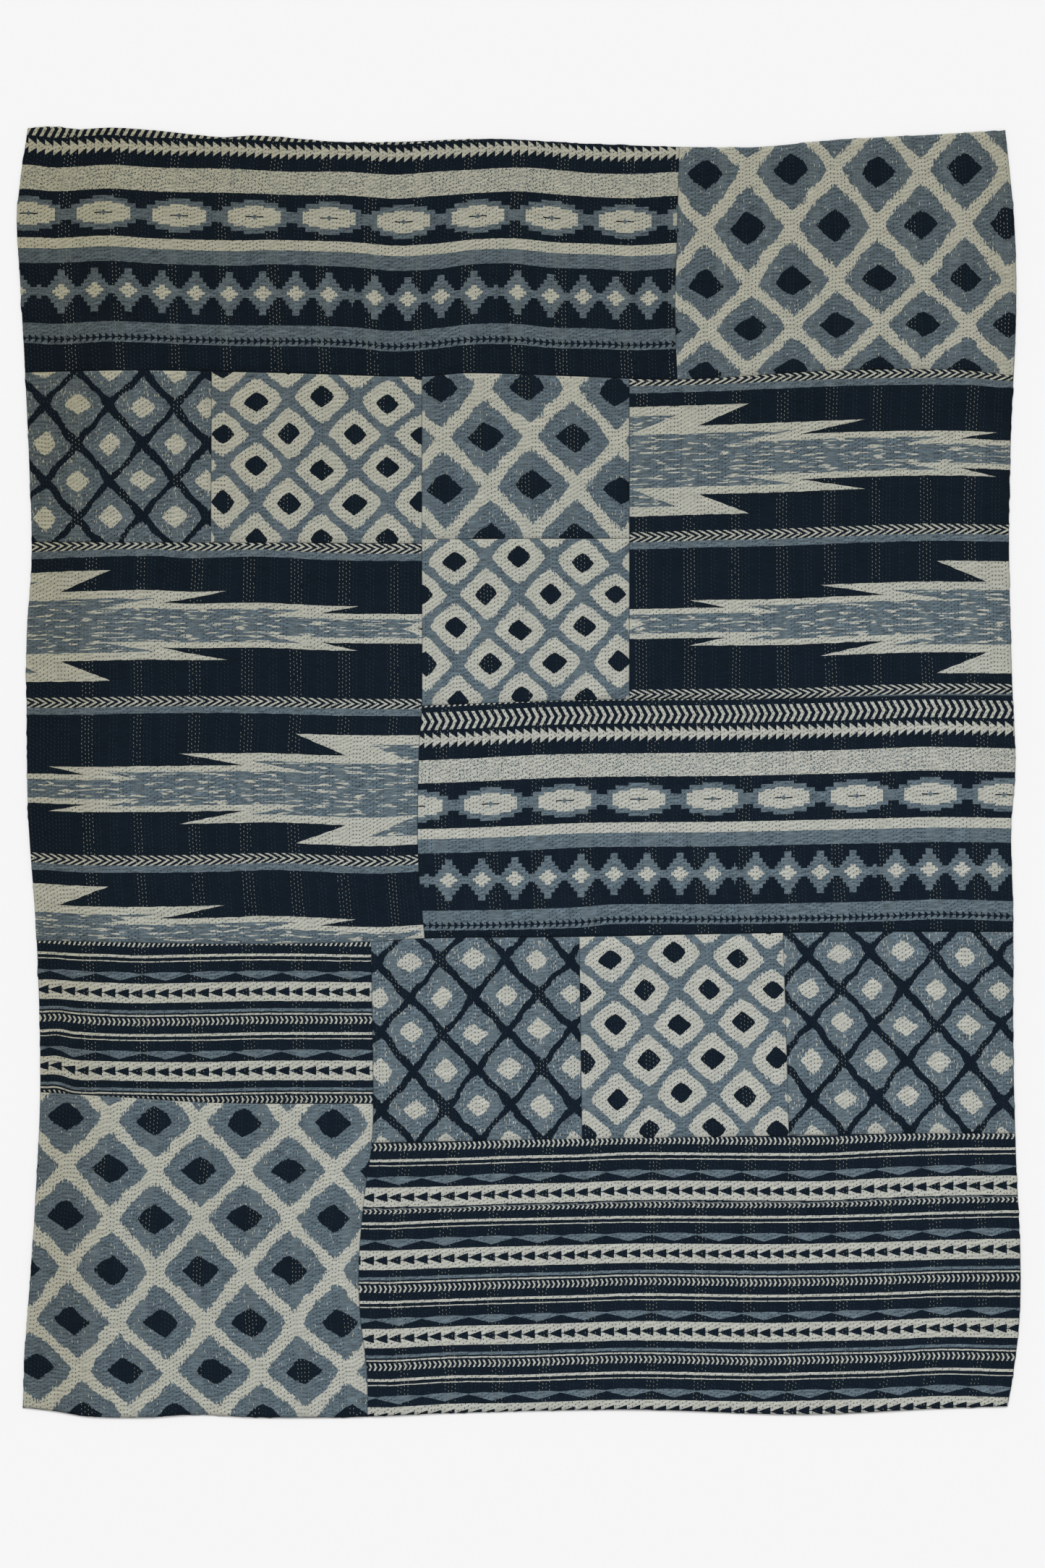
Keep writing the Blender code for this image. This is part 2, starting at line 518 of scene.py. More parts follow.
@dataclass(frozen=True)
class Cloth:
    """A printed cloth's material while it is drawn.

    Attributes:
        tree: The material's node tree.
        across: The place across the cloth before it was cut, in millimetres.
        down: The place down the cloth before it was cut, in millimetres.
    """

    tree: NodeTree
    across: Field
    down: Field

    @classmethod
    def on(cls, tree: NodeTree) -> "Cloth":
        """Returns the cloth whose places are those of the piece's own Print map.

        Args:
            tree: The material's node tree.

        Returns:
            The cloth.
        """
        place = add_node(tree, "ShaderNodeUVMap", uv_map="Print").outputs[0]
        split = add_node(tree, "ShaderNodeSeparateXYZ", {0: place})
        return cls(tree, Field(tree, split.outputs[0]), Field(tree, split.outputs[1]))

    def noise(self, size: Pair, detail: float = 1.0, seed: float = 0.0) -> Field:
        """Makes soft noise, stretched to the given grain.

        Args:
            size: The grain across and down, in millimetres.
            detail: How many finer layers of noise are added.
            seed: Moves the noise, so that two of them differ.

        Returns:
            Values around 0.5.
        """
        place = add_node(
            self.tree,
            "ShaderNodeCombineXYZ",
            {0: self.across * (1 / size[0]), 1: self.down * (1 / size[1])},
        )
        node = add_node(
            self.tree,
            "ShaderNodeTexNoise",
            {"Vector": place.outputs[0], "W": seed, "Scale": 1.0, "Detail": detail},
            noise_dimensions="4D",
        )
        return Field(self.tree, node.outputs[0])

    def grains(self, size: Pair, seed: float) -> Field:
        """Makes a random value from 0 to 1 for each cell of a grid.

        Args:
            size: The cell across and down, in millimetres.
            seed: Another seed gives other values.

        Returns:
            The values.
        """
        place = add_node(
            self.tree,
            "ShaderNodeCombineXYZ",
            {0: self.across.cell(size[0]), 1: self.down.cell(size[1])},
        )
        node = add_node(
            self.tree,
            "ShaderNodeTexWhiteNoise",
            {"Vector": place.outputs[0], "W": seed},
            noise_dimensions="4D",
        )
        return Field(self.tree, node.outputs[0])


# Prints


def painted(ground: Field, mask: Field, ink: Ink) -> Field:
    """Returns the ground with one more ink laid over it where the mask is 1."""
    return mask.times_plus(ground.times_plus(-1.0, ink.value), ground)


@dataclass(frozen=True)
class Lozenges:
    """A print of lozenges in offset rows.

    Attributes:
        pitch: How far apart two lozenges of a row are.
        row: How far apart two rows are.
        body: The lozenge's half width and half height.
        core: The half width and half height of the lozenge inside it.
        ground: The ink between the lozenges.
        fill: The lozenge's own ink.
        heart: The core's ink.
        comb: How far the yarns pull the outline up and down.
        sway: How far the whole figure wanders.
        bulge: Over 1 where the lozenge's sides bow out.
        heart_bulge: The same for the core.
        flecks: The share of small ecru flecks in the slate.
        yarn: The width of the warp that is pulled as one.
        fleck_size: A fleck's width and length.
    """

    pitch: float
    row: float
    body: Pair
    core: Pair
    ground: Ink
    fill: Ink
    heart: Ink
    comb: float
    sway: float
    bulge: float
    heart_bulge: float
    flecks: float
    yarn: float = 1.7
    fleck_size: Pair = (0.8, 3.8)

    def ink(self, cloth: Cloth) -> Field:
        """Draws the print and returns its ink number at each place.

        Its figures look as if the yarns had been dyed before the weaving: each warp is
        pulled up or down by its own amount, more in some places than in others, and the
        whole figure wanders a little.

        Args:
            cloth: The cloth that is printed.

        Returns:
            The ink number at each place.
        """
        fringe = (cloth.noise((26.0, 18.0), 1.0, 4.0) - 0.5).times_plus(5.0, 1.0)
        comb = (cloth.grains((self.yarn, self.row), 3.0) - 0.5) * fringe
        drift = cloth.noise((34.0, 30.0), 1.0, 1.0) - 0.5
        sway = cloth.noise((30.0, 34.0), 1.0, 2.0) - 0.5
        across = drift.times_plus(self.sway, cloth.across)
        smooth = sway.times_plus(self.sway, cloth.down)
        down = comb.times_plus(self.comb, smooth)
        part_x, part_y = self.parts(across, down)

        ink = self.between_lozenges(across, down, part_x, part_y)
        body = self.lozenge(part_x, part_y, self.body, self.bulge)
        ink = painted(ink, body, self.fill)
        specks = cloth.grains(self.fleck_size, 5.0).over(1 - self.flecks)
        ink = painted(ink, specks * ink.between(0.5, 1.5), Ink.ECRU)
        part_x, part_y = self.parts(across, comb.times_plus(self.comb / 3, smooth))
        heart = self.lozenge(part_x, part_y, self.core, self.heart_bulge)
        return painted(ink, heart, self.heart)

    def parts(self, across: Field, down: Field) -> tuple[Field, Field]:
        """Returns how far a place is from its own lozenge's middle, as shares of its cell.

        Args:
            across: Places across the print.
            down: Places down it.

        Returns:
            The share across and the share down.
        """
        off_x = across.off_centre(self.pitch) * (2 / self.pitch)
        off_y = down.off_centre(self.row * 2) * (1 / self.row)
        outside = (off_x + off_y).over(1.0)
        return abs(off_x - outside), abs(off_y - outside)

    def lozenge(
        self, part_x: Field, part_y: Field, half: Pair, bulge: float
    ) -> Field:
        """Returns the mask of a lozenge with the given half width and height.

        Args:
            part_x: How far across from the lozenge's middle, as a share.
            part_y: The same down from it.
            half: The half width and the half height.
            bulge: Over 1 where the sides bow out.

        Returns:
            The mask.
        """
        wide = (part_x * (self.pitch / 2 / half[0])).math("POWER", bulge)
        tall = (part_y * (self.row / half[1])).math("POWER", bulge)
        return (wide + tall).under(1.0)

    def between_lozenges(self, across: Field, down: Field, part_x: Field, part_y: Field) -> Field:
        """Returns the ink of the ground, which is plain here."""
        return (across * 0.0) + self.ground.value


@dataclass(frozen=True)
class Lattice(Lozenges):
    """Lozenges with a thin lattice between them.

    Attributes:
        thin: Half the thickness of the lattice's thinner diagonals, as a share.
        thick: The same for the thicker ones.
        cell_bulge: Over 1 where the cells' corners are rounded.
    """

    thin: float = 0.115
    thick: float = 0.145
    cell_bulge: float = 1.1

    def between_lozenges(self, across: Field, down: Field, part_x: Field, part_y: Field) -> Field:
        """Returns navy on the lattice's lines and slate beside them.

        Args:
            across: Places across the print.
            down: Places down it.
            part_x: How far across from the lozenge's middle, as a share.
            part_y: The same down from it.

        Returns:
            The ink number at each place.
        """
        right = across.share_of(self.pitch).under(0.5)
        lower = (down * (0.5 / self.row)).math("FRACT").under(0.5)
        falling = abs(right - lower)
        reach = falling.times_plus(self.thin - self.thick, 1 - self.thin)
        round_off = part_x.math("POWER", self.cell_bulge) + part_y.math("POWER", self.cell_bulge)
        return (round_off * 2 ** (self.cell_bulge - 1)).under(reach.math("POWER", self.cell_bulge))


@dataclass(frozen=True)
class Bands:
    """A print of bands: chevrons, teeth, medallions, stepped diamonds and arrowheads.

    A stepped figure is given by its half width at its middle, and then by steps: how far
    up or down from the middle each one is, and the half width from there on.

    Attributes:
        stripes: Where each plain stripe starts, and its ink, below the navy at the top.
        greyed: The share of slate yarns in the first ecru stripe.
        strokes_over: The slanting strokes lie over this line.
        stroke_pitch: From one stroke to the next.
        chevrons: The top, the fold and the bottom of the chevrons.
        chevron_slopes: How far they lean over and under the fold, for each millimetre.
        chevron_pitch: From one chevron to the next.
        teeth: The middle of the chain of teeth.
        tooth_pitch: From one tooth to the next.
        tooth_halves: A tooth's half height at its left and at its right.
        medallions_at: The middle of the row of medallions.
        medallion_pitch: From one medallion to the next.
        medallion_bar: The half height of the bar that joins them.
        medallion_rim: The slate figure.
        medallion_field: The ecru figure inside it.
        medallion_line: The half width and half height of the dark line across the field.
        medallion_heart: The half width of the small lozenge on that line.
        diamonds_at: The middle of the row of diamonds.
        diamond_pitch: From one diamond to the next.
        diamond_gaps: How far the diamonds are moved, which makes the wider gaps.
        diamond_body: The slate figure.
        diamond_core: The ecru figure inside it.
        arrows_at: The middle of the row of arrowheads.
        arrow_pitch: From one arrowhead to the next.
        arrow_halves: An arrowhead's half height at its left, and how much less at its tip.
        arrow_stem: The half height of the stem that joins them.
    """

    stripes: tuple[tuple[float, Ink], ...] = (
        (1.6, Ink.ECRU), (34.2, Ink.NAVY), (98.5, Ink.ECRU), (112.9, Ink.SLATE),
        (132.8, Ink.NAVY), (215.3, Ink.SLATE), (243.5, Ink.NAVY),
    )
    greyed: float = 0.15
    strokes_over: float = -72.3
    stroke_pitch: float = 8.0
    chevrons: tuple[float, float, float] = (-64.6, -51.8, -40.2)
    chevron_slopes: Pair = (-0.56, 0.52)
    chevron_pitch: float = 10.5
    teeth: float = -25.8
    tooth_pitch: float = 11.6
    tooth_halves: Pair = (10.5, 1.9)
    medallions_at: float = 66.3
    medallion_pitch: float = 104.2
    medallion_bar: float = 7.6
    medallion_rim: Steps = (44.5, ((13.6, 32.9), (19.5, 14.7), (23.2, 0.0)))
    medallion_field: Steps = (36.9, ((8.6, 28.8), (12.4, 12.6), (15.2, 0.0)))
    medallion_line: Pair = (12.6, 0.9)
    medallion_heart: float = 3.9
    diamonds_at: float = 171.8
    diamond_pitch: float = 46.4
    diamond_gaps: Steps = (-29.9, ((14.4, -45.5), (449.8, -63.0), (649.5, -78.0)))
    diamond_body: Steps = (
        24.0, ((5.6, 18.5), (9.5, 14.6), (15.2, 9.8), (21.3, 5.0), (29.8, 0.0))
    )
    diamond_core: Steps = (12.3, ((2.2, 8.2), (5.6, 3.9), (10.1, 0.0)))
    arrows_at: float = 236.6
    arrow_pitch: float = 8.9
    arrow_halves: Pair = (5.8, 8.0)
    arrow_stem: float = 0.8

    def ink(self, cloth: Cloth) -> Field:
        """Draws the print and returns its ink number at each place.

        Args:
            cloth: The cloth that is printed.

        Returns:
            The ink number at each place.
        """
        across = (cloth.noise((9.0, 7.0), 0.0, 1.0) - 0.5).times_plus(0.9, cloth.across)
        down = (cloth.noise((11.0, 9.0), 0.0, 2.0) - 0.5).times_plus(1.3, cloth.down)
        ink = down.staircase(Ink.NAVY.value, [(at, shade.value) for at, shade in self.stripes])
        yarns = cloth.grains((1.4, 0.9), 4.0).over(1 - self.greyed)
        first_ecru = down.between(self.stripes[0][0], self.stripes[1][0])
        ink = painted(ink, yarns * first_ecru, Ink.SLATE)
        # Chevrons that point right
        top, fold, bottom = self.chevrons
        upper, lower = ((down - fold) * slope for slope in self.chevron_slopes)
        stroke = (across + upper.math("MAXIMUM", lower)).share_of(self.chevron_pitch)
        ink = painted(ink, stroke.under(0.46) * down.between(top, bottom), Ink.ECRU)
        # Slanting strokes over them
        stroke = (down * 0.6 + across).share_of(self.stroke_pitch)
        ink = painted(ink, stroke.under(0.42) * down.under(self.strokes_over), Ink.ECRU)
        # A chain of teeth, each tall at its left side
        left, right = self.tooth_halves
        half = across.share_of(self.tooth_pitch).times_plus(right - left, left)
        ink = painted(ink, abs(down - self.teeth).under(half), Ink.ECRU)
        ink = self.medallions(ink, across, down)
        ink = self.diamonds(ink, across, down)
        # Dark arrowheads on their thin stem
        left, less = self.arrow_halves
        head = across.share_of(self.arrow_pitch).times_plus(-less, left)
        head = head.math("MAXIMUM", self.arrow_stem)
        return painted(ink, abs(down - self.arrows_at).under(head), Ink.NAVY)

    def medallions(self, ink: Field, across: Field, down: Field) -> Field:
        """Lays the row of stepped medallions, joined by a bar, over the ground.

        Args:
            ink: The ink numbers so far.
            across: Places across the print.
            down: Places down it.

        Returns:
            The ink numbers with the row in them.
        """
        off_x = across.off_centre(self.medallion_pitch)
        off_y = abs(down - self.medallions_at)
        rim = off_y.staircase(*self.medallion_rim)
        inside = off_y.staircase(*self.medallion_field)
        bar = off_y.under(self.medallion_bar)
        ink = painted(ink, bar.either(off_x.under(rim)), Ink.SLATE)
        ink = painted(ink, off_x.under(inside), Ink.ECRU)
        half_width, half_height = self.medallion_line
        ink = painted(ink, off_x.under(half_width) * off_y.under(half_height), Ink.NAVY)
        return painted(ink, (off_x + off_y).under(self.medallion_heart), Ink.SLATE)

    def diamonds(self, ink: Field, across: Field, down: Field) -> Field:
        """Lays the row of stepped diamonds over the ground, with its two wider gaps.

        Args:
            ink: The ink numbers so far.
            across: Places across the print.
            down: Places down it.

        Returns:
            The ink numbers with the row in them.
        """
        moved = across + across.staircase(*self.diamond_gaps)
        off_x = moved.off_centre(self.diamond_pitch)
        off_y = abs(down - self.diamonds_at)
        for figure, shade in ((self.diamond_body, Ink.SLATE), (self.diamond_core, Ink.ECRU)):
            ink = painted(ink, off_x.under(off_y.staircase(*figure)), shade)
        return ink


@dataclass(frozen=True)
class FlameStep:
    """One bar of a flame.

    Attributes:
        half: Its half height.
        tip: Where its barbs end, from the flame's first barbs.
        slant: How far the end runs back for each millimetre inwards.
    """

    half: float
    tip: float
    slant: float


@dataclass(frozen=True)
class Flames:
    """A print of long stepped flames between braids.

    Attributes:
        repeat: From one braid to the next.
        centres: The middle of the flame under each of two braids.
        mirror_at: Where the second flame's first barbs end; it runs the other way.
        braid_pitch: From one chevron of a braid to the next.
        braid_half: A braid's half height.
        braid_ground: How far over the repeat's end the slate under a braid begins and ends.
        braid_at: How far over the repeat's end the braid's middle is.
        wedge_at: Where the dark wedge inside the flame has its point.
        wedge_slope: The wedge's half height for each millimetre from there.
        outer: The flame's ecru bars.
        inner: The slate bars inside it.
    """

    repeat: float = 218.35
    centres: Pair = (95.0, 103.0)
    mirror_at: float = 262.0
    braid_pitch: float = 11.6
    braid_half: float = 6.9
    braid_ground: Pair = (10.6, 0.6)
    braid_at: float = 17.4
    wedge_at: float = 408.0
    wedge_slope: float = 0.4
    outer: tuple[FlameStep, ...] = (
        FlameStep(76.6, 0.0, 2.49), FlameStep(48.2, 161.7, 5.35),
        FlameStep(31.3, 345.7, 4.84), FlameStep(20.7, 528.6, 4.84),
    )
    inner: tuple[FlameStep, ...] = (
        FlameStep(63.7, -102.0, 2.49), FlameStep(37.4, 62.0, 5.35),
        FlameStep(23.2, 266.0, 4.84), FlameStep(13.2, 480.0, 4.84),
    )

    def ink(self, cloth: Cloth) -> Field:
        """Draws the print and returns its ink number at each place.

        Args:
            cloth: The cloth that is printed.

        Returns:
            The ink number at each place.
        """
        down = (cloth.noise((16.0, 9.0), 0.0, 2.0) - 0.5).times_plus(1.8, cloth.down)
        within = down.wrap(self.repeat)
        second = (down * (0.5 / self.repeat)).math("FRACT").over(0.5)
        across = (cloth.noise((30.0, 6.0), 0.0, 1.0) - 0.5).times_plus(5.0, cloth.across)
        reach = second.times_plus(across.times_plus(-2.0, self.mirror_at), across)
        first, last = self.centres
        off_y = abs(within - second.times_plus(last - first, first))

        ink = (within * 0.0) + Ink.NAVY.value
        ink = painted(ink, self.bars(reach, off_y, self.outer), Ink.ECRU)
        inner = self.bars(reach, off_y, self.inner)
        wedge = off_y.under((reach - self.wedge_at) * self.wedge_slope)
        ink = painted(ink, inner.without(wedge), Ink.SLATE)
        dashes = cloth.noise((24.0, 3.7), 1.0, 4.0).over(0.605)
        lines = cloth.noise((44.0, 3.0), 1.0, 5.0).over(0.63)
        ink = painted(ink, dashes.either(lines) * ink.between(0.5, 1.5), Ink.ECRU)
        first, last = (self.repeat - over for over in self.braid_ground)
        ink = painted(ink, within.between(first, last), Ink.SLATE)
        # The braid: flat chevrons that point right
        off = abs(within - self.repeat + self.braid_at)
        stroke = off.times_plus(2.0, cloth.across).share_of(self.braid_pitch)
        return painted(ink, stroke.under(0.43) * off.under(self.braid_half), Ink.ECRU)

    def bars(self, reach: Field, off_y: Field, steps: Sequence[FlameStep]) -> Field:
        """Returns the mask of one flame as the union of its bars.

        Args:
            reach: Places along the flame.
            off_y: How far from its middle they are.
            steps: Its bars.

        Returns:
            The mask.
        """
        made = None
        for step in steps:
            end = off_y.times_plus(step.slant, step.tip - step.half * step.slant)
            bar = reach.under(end) * off_y.under(step.half)
            made = bar if made is None else made.either(bar)
        return made


@dataclass(frozen=True)
class FineStripes:
    """A print of narrow stripes with low hills, arrowheads and a rope.

    Attributes:
        repeat: The height after which the stripes come again.
        stripes: Where each stripe of a repeat starts, and its ink, below navy at the top.
        hill_pitch: From one hill to the next.
        hills: How far a dark hill falls off, where its top is, and where its base is.
        dips: The same for the dark dips over the hills.
        arrows_at: The middle of the arrowheads.
        arrow_pitch: From one arrowhead to the next.
        arrow_half: Its half height at its blunt end.
        arrow_stem: The half height of the stem that joins them.
        rope_at: How far over the repeat's end the rope's middle is.
        rope_pitch: From one strand of the rope to the next.
        rope_half: The rope's half height.
    """

    repeat: float = 110.0
    stripes: tuple[tuple[float, Ink], ...] = (
        (11.0, Ink.ECRU), (14.7, Ink.NAVY), (19.2, Ink.ECRU), (20.7, Ink.NAVY),
        (34.9, Ink.SLATE), (50.4, Ink.ECRU), (77.5, Ink.NAVY), (87.7, Ink.SLATE),
        (91.8, Ink.NAVY), (94.3, Ink.ECRU), (96.5, Ink.NAVY),
    )
    hill_pitch: float = 64.7
    hills: tuple[float, float, float] = (8.6, 38.0, 50.4)
    dips: tuple[float, float, float] = (-3.0, 36.6, 30.0)
    arrows_at: float = 64.3
    arrow_pitch: float = 18.7
    arrow_half: float = 7.0
    arrow_stem: float = 0.6
    rope_at: float = 5.8
    rope_pitch: float = 6.9
    rope_half: float = 5.1

    def ink(self, cloth: Cloth) -> Field:
        """Draws the print and returns its ink number at each place.

        Args:
            cloth: The cloth that is printed.

        Returns:
            The ink number at each place.
        """
        across = (cloth.noise((9.0, 7.0), 0.0, 1.0) - 0.5).times_plus(1.4, cloth.across)
        down = (cloth.noise((12.0, 8.0), 0.0, 2.0) - 0.5).times_plus(1.1, cloth.down)
        within = down.wrap(self.repeat)
        ink = within.staircase(Ink.NAVY.value, [(at, shade.value) for at, shade in self.stripes])
        # Dark hills, and dips over them
        rise = across.off_centre(self.hill_pitch) * (2 / self.hill_pitch)
        change, top, base = self.hills
        hills = within.over(rise.times_plus(change, top)) * within.under(base)
        change, low, base = self.dips
        dips = within.under(rise.times_plus(change, low)) * within.over(base)
        ink = painted(ink, hills.either(dips), Ink.NAVY)
        # Dark arrowheads on their thin stem
        share = across.share_of(self.arrow_pitch)
        heads = (share.math("POWER", 0.75) * self.arrow_half) * share.under(0.9)
        heads = heads.math("MAXIMUM", self.arrow_stem)
        ink = painted(ink, abs(within - self.arrows_at).under(heads), Ink.NAVY)
        # The rope: small chevrons that point right
        off = (down + self.rope_at).off_centre(self.repeat)
        stroke = (off * 0.52 + across).share_of(self.rope_pitch)
        return painted(ink, stroke.under(0.38) * off.under(self.rope_half), Ink.ECRU)


PrintDesign = Union[Lozenges, Bands, Flames, FineStripes]

PRINTS: dict[str, PrintDesign] = {
    "large_lozenges": Lozenges(
        pitch=122.3, row=71.8, body=(50.0, 54.0), core=(24.5, 20.5),
        ground=Ink.ECRU, fill=Ink.SLATE, heart=Ink.NAVY,
        comb=5.5, sway=12.0, bulge=1.1, heart_bulge=1.18, flecks=0.012,
    ),
    "small_lozenges": Lozenges(
        pitch=91.0, row=48.5, body=(36.3, 35.0), core=(16.2, 14.8),
        ground=Ink.SLATE, fill=Ink.ECRU, heart=Ink.NAVY,
        comb=3.4, sway=8.0, bulge=1.16, heart_bulge=1.25, flecks=0.0,
    ),
    "lattice": Lattice(
        pitch=90.0, row=50.5, body=(16.5, 15.0), core=(0.1, 0.1),
        ground=Ink.SLATE, fill=Ink.ECRU, heart=Ink.ECRU,
        comb=2.4, sway=14.0, bulge=1.2, heart_bulge=1.2, flecks=0.036,
    ),
    "bands": Bands(),
    "flames": Flames(),
    "fine_stripes": FineStripes(),
}


# Finishes


@dataclass(frozen=True)
class Dullness:
    """How cotton takes the light, which is the same all over a piece.

    Attributes:
        roughness: High, because washed cotton and cotton thread are dull.
        shine: Nearly none, and a little more on twisted thread.
        fuzz: A trace of loose fibre.
        fuzz_spread: Wide, because the fibres stand every way.
    """

    roughness: float = 0.92
    shine: float = 0.02
    fuzz: float = 0.02
    fuzz_spread: float = 0.6

    def dress(self, shader: Node) -> None:
        """Sets the shader's own values.

        Args:
            shader: The material's Principled BSDF.
        """
        for name, value in (
            ("Roughness", self.roughness), ("Metallic", 0.0),
            ("Specular IOR Level", self.shine), ("Sheen Weight", self.fuzz),
            ("Sheen Roughness", self.fuzz_spread),
        ):
            shader.inputs[name].default_value = value


@dataclass(frozen=True)
class PrintedCotton:
    """Washed, printed cotton in plain weave, dull and a little faded.

    Attributes:
        navy: The darkest ink, and what it varies to.
        slate: The middle ink, and what it varies to in streaks across the cloth.
        ecru: The undyed cloth, and what it varies to.
        darkest_dye: What the dyed inks are multiplied by where the cloth is made darkest, painted
            side shade included.
        darkest_plain: The same for the undyed cloth.
        wear: How much the wash has made the shade uneven.
        weft: How much single yarns show that run across the cloth.
        warp: How much those show that run down it.
        slub: How much the thicker yarns show, which run across the cloth.
        hollow_shade: How much painted shade darkens the cloth in the dimples of the quilting and
            along the patches' borders.
        weave_size: How far apart the yarns are, drawn twice as coarse so that they show.
        weave_bump: How strongly the weave roughens the surface.
        weave_deep: How deep the weave is.
        dullness: How it takes the light.
    """

    navy: tuple[str, str] = ("0f1922", "16212d")
    slate: tuple[str, str] = ("1d2328", "80939f")
    ecru: tuple[str, str] = ("b1b5ae", "b9b9b0")
    darkest_dye: Colour = (0.65, 0.59, 0.51, 1.0)
    darkest_plain: Colour = (0.71, 0.66, 0.52, 1.0)
    wear: float = 0.22
    weft: float = 0.34
    warp: float = 0.238
    slub: float = 0.54
    hollow_shade: float = 0.26
    weave_size: float = 0.8
    weave_bump: float = 0.25
    weave_deep: float = 0.3
    dullness: Dullness = Dullness()

    def material(self, name: str, design: PrintDesign) -> Material:
        """Makes the material of one printed cloth.

        Args:
            name: The print's name.
            design: What draws the print.

        Returns:
            The material.
        """
        # Printed cotton gives the eye a dull, dry surface with the print's three inks,
        # streaky slate, shade that the wash made uneven, and yarns that just show.
        made = bpy.data.materials.new("printed_cotton_" + name)
        made.use_nodes = True
        tree = made.node_tree
        cloth = Cloth.on(tree)
        ink = design.ink(cloth)
        dyed, light, cast = self.dyed(cloth, ink), self.light(cloth), self.cast(cloth, ink)
        tinted = add_node(tree, "ShaderNodeVectorMath", {0: dyed, 1: cast}, operation="MULTIPLY")
        shaded = add_node(
            tree,
            "ShaderNodeVectorMath",
            {0: tinted.outputs[0], "Scale": light},
            operation="SCALE",
        )
        weave = cloth.noise((self.weave_size, self.weave_size), 0.0, 10.0)
        bump = add_node(
            tree,
            "ShaderNodeBump",
            {"Height": weave, "Strength": self.weave_bump, "Distance": self.weave_deep * MM},
        )
        shader = tree.nodes["Principled BSDF"]
        tree.links.new(shaded.outputs[0], shader.inputs["Base Color"])
        tree.links.new(bump.outputs[0], shader.inputs["Normal"])
        self.dullness.dress(shader)
        return made

    def dyed(self, cloth: Cloth, ink: Field) -> NodeSocket:
        """Returns the colour of the inks, each one varying between its two shades.

        Args:
            cloth: The cloth that is printed.
            ink: The ink number at each place.

        Returns:
            The colour.
        """
        tint, streak = cloth.noise((60.0, 45.0), 2.0, 7.0), cloth.noise((15.0, 2.4), 1.0, 12.0)
        shades = [
            add_node(
                cloth.tree,
                "ShaderNodeMix",
                {0: share, 6: linear(pair[0]), 7: linear(pair[1])},
                data_type="RGBA",
            ).outputs[2]
            for pair, share in ((self.navy, tint), (self.slate, streak), (self.ecru, tint))
        ]
        colour = shades[Ink.NAVY.value]
        for shade in (Ink.SLATE, Ink.ECRU):
            colour = add_node(
                cloth.tree,
                "ShaderNodeMix",
                {0: ink.over(shade.value - 0.5), 6: colour, 7: shades[shade.value]},
                data_type="RGBA",
            ).outputs[2]
        return colour

    def light(self, cloth: Cloth) -> Field:
        """Returns how light the cloth is for its yarns and its wear, with painted shade in its
        dimples and along its borders.

        Args:
            cloth: The cloth that is printed.

        Returns:
            What the colour is multiplied by.
        """
        hollow_shade = add_node(cloth.tree, "ShaderNodeAttribute", attribute_name="hollow_shade").outputs[2]
        light = 1.0
        for size, detail, seed, strength in (
            ((7.0, 0.7), 1.0, 8.0, self.weft),
            ((0.7, 7.0), 1.0, 9.0, self.warp),
            ((18.0, 14.0), 2.0, 6.0, self.wear),
            ((13.0, 2.7), 1.0, 11.0, self.slub),
        ):
            light = (cloth.noise(size, detail, seed) - 0.5).times_plus(strength, light)
        # Painted shade in the dimples and along the borders, from the mesh attribute
        return Field(cloth.tree, hollow_shade).times_plus(-self.hollow_shade, light)

    def cast(self, cloth: Cloth, ink: Field) -> NodeSocket:
        """Returns what the colour is multiplied by where the cloth is made darker and warmer,
        painted side shade included.

        Args:
            cloth: The cloth that is printed.
            ink: The ink number at each place.

        Returns:
            The colour.
        """
        tone = add_node(cloth.tree, "ShaderNodeAttribute", attribute_name="tone").outputs[2]
        darkening = add_node(
            cloth.tree,
            "ShaderNodeMix",
            {0: ink.over(Ink.ECRU.value - 0.5), 6: self.darkest_dye, 7: self.darkest_plain},
            data_type="RGBA",
        )
        # Darker and warmer at the top and the left, with painted shade on the side strips
        cast = add_node(
            cloth.tree,
            "ShaderNodeMix",
            {0: tone, 6: WHITE, 7: darkening.outputs[2]},
            data_type="RGBA",
        )
        return cast.outputs[2]


@dataclass(frozen=True)
class ThreadFinish:
    """Plain cotton sewing thread.

    Attributes:
        name: The material's name.
        colour: The thread's colour.
        dullness: How it takes the light.
    """

    name: str
    colour: str
    dullness: Dullness = Dullness(roughness=0.85, shine=0.03)

    def material(self) -> Material:
        """Makes the material.

        Returns:
            The material.
        """
        # Cotton thread gives the eye the small dull dashes of the quilting.
        made = bpy.data.materials.new(self.name)
        made.use_nodes = True
        shader = made.node_tree.nodes["Principled BSDF"]
        shader.inputs["Base Color"].default_value = linear(self.colour)
        self.dullness.dress(shader)
        return made


THREADS = {
    Thread.SLATE: ThreadFinish("thread_slate", "2d363e"),
    Thread.ECRU: ThreadFinish("thread_ecru", "77796f"),
    Thread.DARK: ThreadFinish("thread_dark", "182028"),
}


